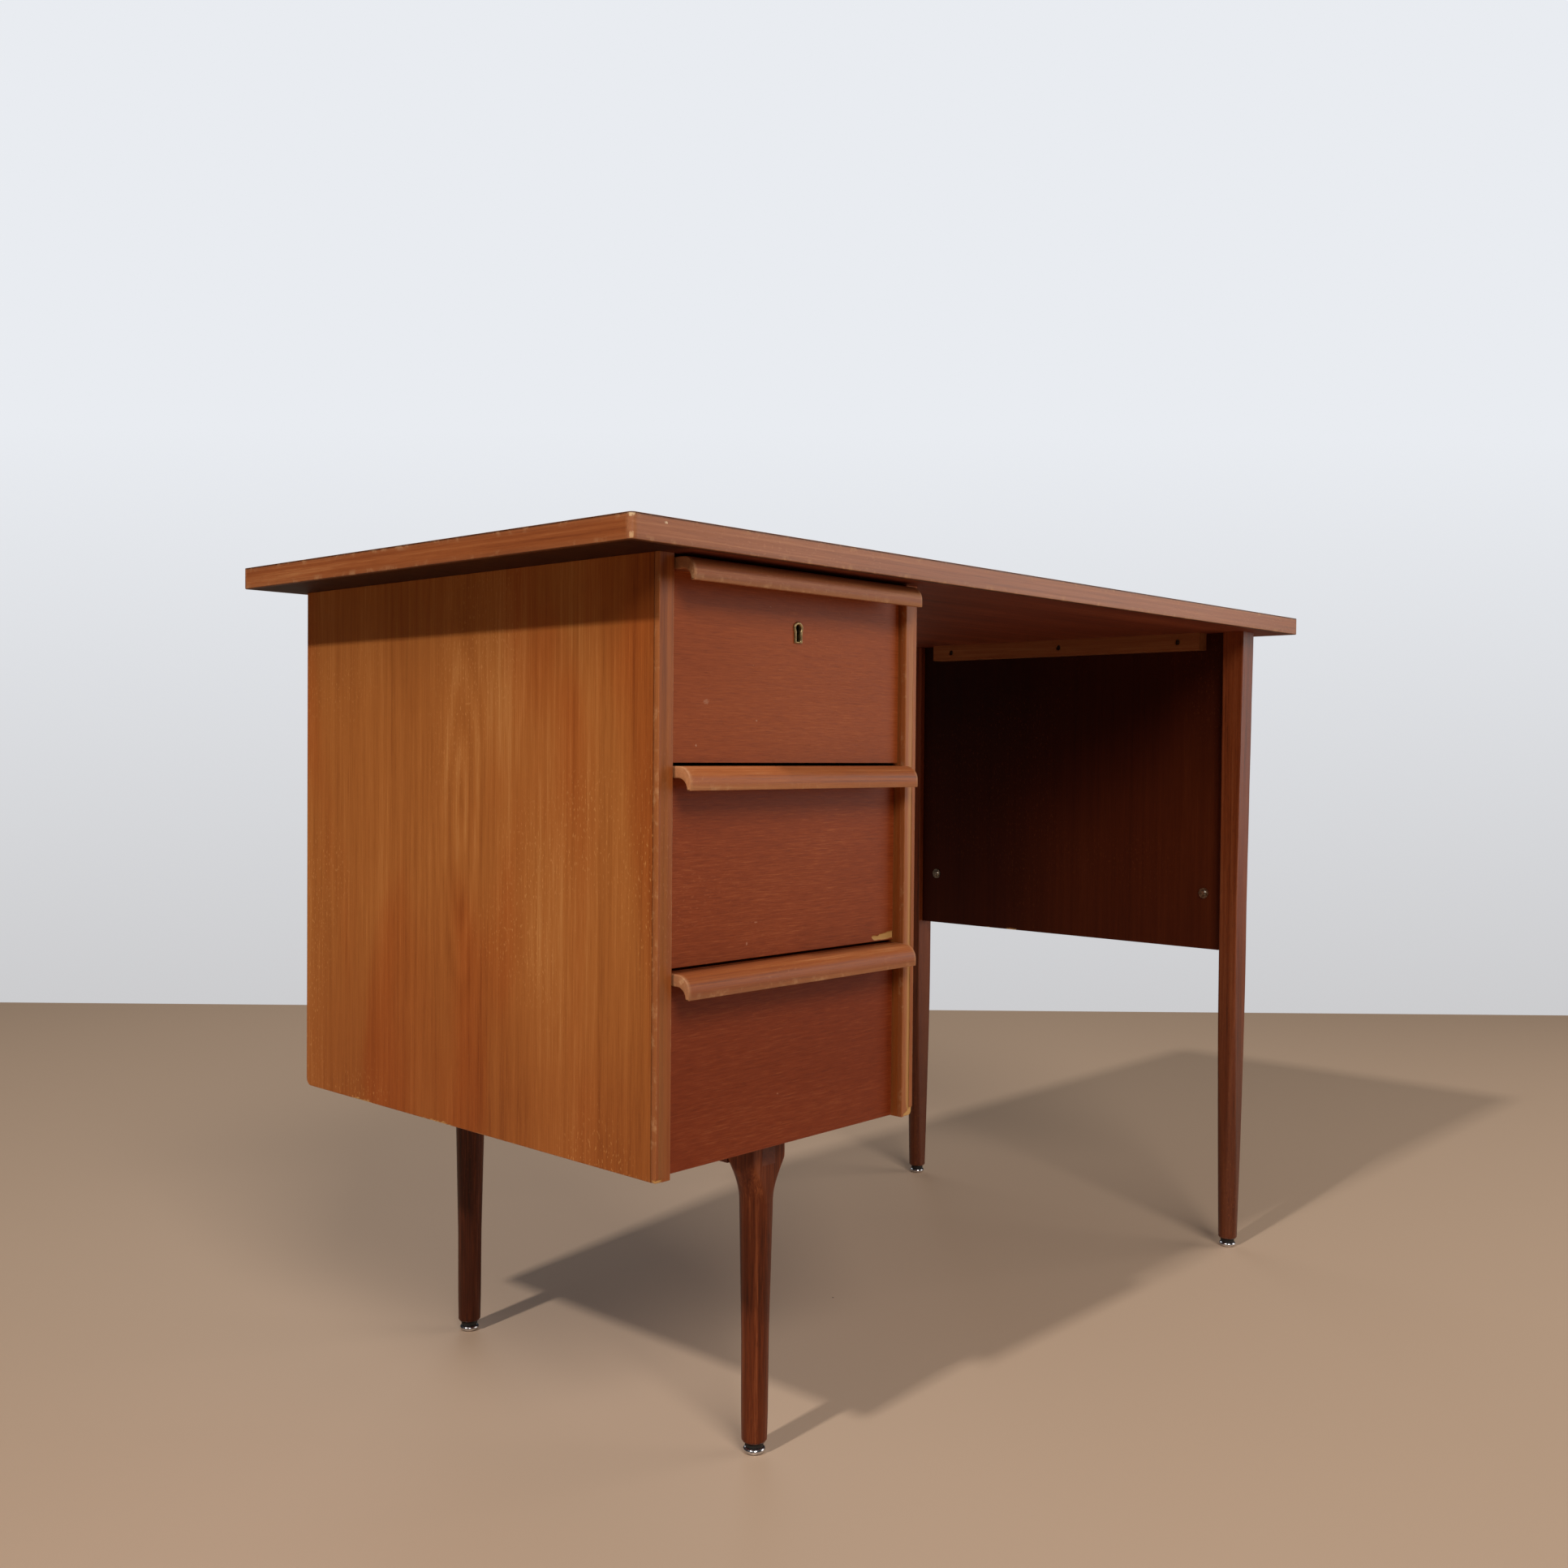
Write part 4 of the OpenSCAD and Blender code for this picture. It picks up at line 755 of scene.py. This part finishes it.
def keyOutline(shape, grow):
    # a circle over a straight slot, grown outwards: up one side of the slot, round the circle, down the other
    r, w = shape["round"] / 2 + grow, shape["slot"] / 2 + grow
    low = -shape["down"] - 0.6 * grow
    start = -math.pi / 2 + math.asin(w / r)
    angle = np.linspace(start, math.pi - start, 40)
    circle = np.stack([r * np.cos(angle), r * np.sin(angle)], -1)
    joinZ = circle[0, 1]
    rise = np.stack([np.full(8, w), np.linspace(low, joinZ, 9)[:-1]], -1)
    fall = np.stack([np.full(8, -w), np.linspace(joinZ, low, 9)[1:]], -1)
    base = np.stack([np.linspace(-w, w, 8)[1:-1], np.full(6, low)], -1)
    return np.concatenate([rise, circle, fall, base])


plateLo, plateHi = corners("lock_escutcheon")
grow = plateLook["rim"]
centreX = (plateLo[0] + plateHi[0]) / 2
centreZ = plateHi[2] - (plateLook["round"] / 2 + grow) * mm
arc = np.linspace(0, math.pi, 9)
wide = grow + plateLook["lap"]
# growth and depth of each loop: up the outer wall, over the half-round rim, and down the keyhole
section = [(grow, plateLook["deep"]), (grow, plateLook["proud"]), (wide, plateLook["proud"])]
section += [(wide / 2 + wide / 2 * math.cos(a), plateLook["proud"] * (1 - math.sin(a))) for a in arc[1:-1]]
section += [(0.0, plateLook["proud"]), (0.0, plateLook["deep"])]
rows = []
for out, back in section:
    loop = keyOutline(plateLook, out)
    rows.append(np.stack([centreX + loop[:, 0] * mm, np.full(len(loop), plateLo[1] + back * mm),
                          centreZ + loop[:, 1] * mm], -1))
loopPiece("lockEscutcheon", np.array(rows), "top_drawer", "lock_escutcheon", metalsMade["brassFinish"],
          closedRows=True)
print("keyhole plate done")

# finishes on the carried-over parts

carried = {
    "desktop_core": woods["underside"],
    "top_drawer_front": variant("frontVeneer", "topFrontVeneer", (8.8, 0.3, 4.4)),
    "pedestal_bottom": woods["railWood"], "pedestal_leg_rail": woods["railWood"],
    "pedestal_back": woods["caseVeneer"],
    "pedestal_left_cleat": woods["cleatWood"], "pedestal_right_cleat": woods["cleatWood"],
    "end_panel_cleat": woods["cleatWood"],
    "end_panel_dowels": woods["birchAlongY"], "leg_top_dowels": woods["birchAlongZ"],
    "lock_case": metalsMade["shadeDarkSteel"], "lock_bolt": metalsMade["brassFinish"],
    "lock_striker": metalsMade["steelFinish"],
}
for level in ("top", "middle", "bottom"):
    carried[level + "_drawer_runners"] = woods["birchAlongY"]
    carried[level + "_drawer_left_side"] = woods["birchAlongY"]
    carried[level + "_drawer_right_side"] = woods["birchAlongY"]
    carried[level + "_drawer_back"] = woods["birchAlongX"]
    carried[level + "_drawer_bottom"] = woods["birchAlongX"]
for name in ("runner_screws", "connector_bolts", "striker_screws", "lock_screws"):
    carried[name] = metalsMade["steelFinish"]
for name in ("cleat_screws", "desktop_screws", "rail_screws"):
    carried[name] = metalsMade["shadeDarkSteel"]
carried["connector_nuts"] = metalsMade["nutSteel"]
for name, finish in carried.items():
    slots = bpy.data.objects[name].data.materials
    if not slots:
        slots.append(finish)
    for place in range(len(slots)):
        slots[place] = finish
print("carried-over parts finished:", len(carried))

# floor, backdrop, light and camera

cameraLook = {"lens": 35.369, "place": (-1.2406, -1.05925, 0.57978), "yaw": 47.517, "pitch": -1.153, "roll": 0.478,
              "sensor": 36}
roomLook = {"floor": tone(206, 177, 151), "wallFoot": tone(204, 204, 206), "wallTop": tone(233, 236, 241),
            "wallAway": 1.85, "height": 3.4, "floorRadius": 2.68, "sky": tone(226, 234, 246), "skyStrength": 0.035,
            "floorRough": 0.5, "floorGloss": 0.2}


def floorFinish(look):
    s = Shader("floorFinish")
    s.surface.inputs["Base Color"].default_value = look["floor"]
    s.surface.inputs["Roughness"].default_value = look["floorRough"]
    s.surface.inputs["Specular IOR Level"].default_value = look["floorGloss"]
    return s.material


def wallFinish(look):
    # an evenly glowing pale backdrop, a little darker towards the floor
    s = Shader("wallFinish")
    split = s.tree.nodes.new("ShaderNodeSeparateXYZ")
    s.put(s.objectPlace(), split.inputs[0])
    glow = s.tree.nodes.new("ShaderNodeEmission")
    height = s.between(split.outputs[2], 0.0, 1.3, soft=False)
    s.put(s.mix(height, look["wallFoot"], look["wallTop"]), glow.inputs["Color"])
    s.put(glow.outputs[0], s.tree.nodes["Material Output"].inputs["Surface"])
    return s.material


def stagePiece(name, rows, material):
    # open sheet of closed rings, each joined to the next by quads
    v, u = rows.shape[:2]
    at = np.arange(v * u).reshape(v, u)
    quads = np.stack([at[:-1], at[1:], np.roll(at[1:], -1, 1), np.roll(at[:-1], -1, 1)], -1).reshape(-1, 4)
    mesh = bpy.data.meshes.new(name)
    mesh.from_pydata(rows.reshape(-1, 3).tolist(), [], quads.tolist())
    mesh.polygons.foreach_set("use_smooth", np.ones(len(mesh.polygons), dtype=bool))
    mesh.materials.append(material)
    mesh.update()
    piece = bpy.data.objects.new(name, mesh)
    bpy.context.scene.collection.objects.link(piece)
    return piece


angle = np.linspace(0, 2 * math.pi, 128, endpoint=False)
spread = np.linspace(0.001, roomLook["floorRadius"], 24)
flatRows = np.stack([spread[:, None] * np.cos(angle), spread[:, None] * np.sin(angle), np.zeros((24, 128))], -1)
stagePiece("floor", flatRows, floorFinish(roomLook))
# four walls square to the main view
turnTo = math.radians(45 - cameraLook["yaw"]) + np.arange(4) * math.pi / 2
reach = roomLook["wallAway"] * math.sqrt(2)
rise = np.linspace(0, roomLook["height"], 6)
wallRows = np.stack([np.broadcast_to(reach * np.cos(turnTo), (6, 4)), np.broadcast_to(reach * np.sin(turnTo), (6, 4)),
                     np.broadcast_to(rise[:, None], (6, 4))], -1)
wall = stagePiece("wall", wallRows, wallFinish(roomLook))
wall.visible_shadow = wall.visible_diffuse = wall.visible_glossy = False  # seen, but lights nothing

world = bpy.data.worlds.new("softRoom")
world.use_nodes = True
world.node_tree.nodes["Background"].inputs["Color"].default_value = roomLook["sky"]
world.node_tree.nodes["Background"].inputs["Strength"].default_value = roomLook["skyStrength"]
bpy.context.scene.world = world


lamps = {"keyLight": {"place": (-5.5, -0.6, 5.2), "target": (-0.1, 0, 0.5), "power": 224, "size": (0.3, 0.3),
                      "colour": (1.0, 0.97, 0.93)},
         "frontSoft": {"place": (-2.3, -3.85, 3.65), "target": (0.0, 0, 0.5), "power": 132, "size": (2.0, 2.0),
                       "colour": (1.0, 0.96, 0.91)},
         "frontSheen": {"place": (2.2, -2.0, 1.1), "target": (0.1, 0, 0.5), "power": 22, "size": (1.8, 1.8),
                        "colour": (1.0, 0.95, 0.90)},
         "overhead": {"place": (0.2, -0.3, 3.1), "target": (0.1, 0, 0), "power": 8, "size": (2.6, 2.6),
                      "colour": (0.98, 0.99, 1.0)},
         "backFill": {"place": (1.4, 2.4, 1.9), "target": (0, 0, 0.4), "power": 10, "size": (2.0, 1.2),
                      "colour": (0.96, 0.98, 1.0)}}


def lamp(name, look):
    data = bpy.data.lights.new(name, "AREA")
    data.energy = look["power"]
    data.color = look["colour"]
    data.shape = "RECTANGLE"
    data.size, data.size_y = look["size"]
    lampObject = bpy.data.objects.new(name, data)
    bpy.context.scene.collection.objects.link(lampObject)
    lampObject.location = look["place"]
    aim = Vector(look["target"]) - Vector(look["place"])
    lampObject.rotation_euler = aim.to_track_quat("-Z", "Y").to_euler()
    lampObject.visible_camera = False


for name, look in lamps.items():
    lamp(name, look)


def makeCamera(look):
    # yaw turns from +Y towards +X, pitch is up, roll leans the camera to its right
    yaw, pitch, roll = (math.radians(look[k]) for k in ("yaw", "pitch", "roll"))
    ahead = Vector((math.sin(yaw) * math.cos(pitch), math.cos(yaw) * math.cos(pitch), math.sin(pitch)))
    level = Vector((math.cos(yaw), -math.sin(yaw), 0))
    above = level.cross(ahead)
    right = level * math.cos(roll) + above * math.sin(roll)
    up = above * math.cos(roll) - level * math.sin(roll)
    data = bpy.data.cameras.new("camera")
    data.lens = look["lens"]
    data.sensor_width = look["sensor"]
    camera = bpy.data.objects.new("camera", data)
    bpy.context.scene.collection.objects.link(camera)
    turn = Matrix((right, up, -ahead)).transposed().to_4x4()
    camera.matrix_world = Matrix.Translation(look["place"]) @ turn
    bpy.context.scene.camera = camera


makeCamera(cameraLook)
bpy.context.scene.view_settings.view_transform = "Standard"
print("room, light and camera done")
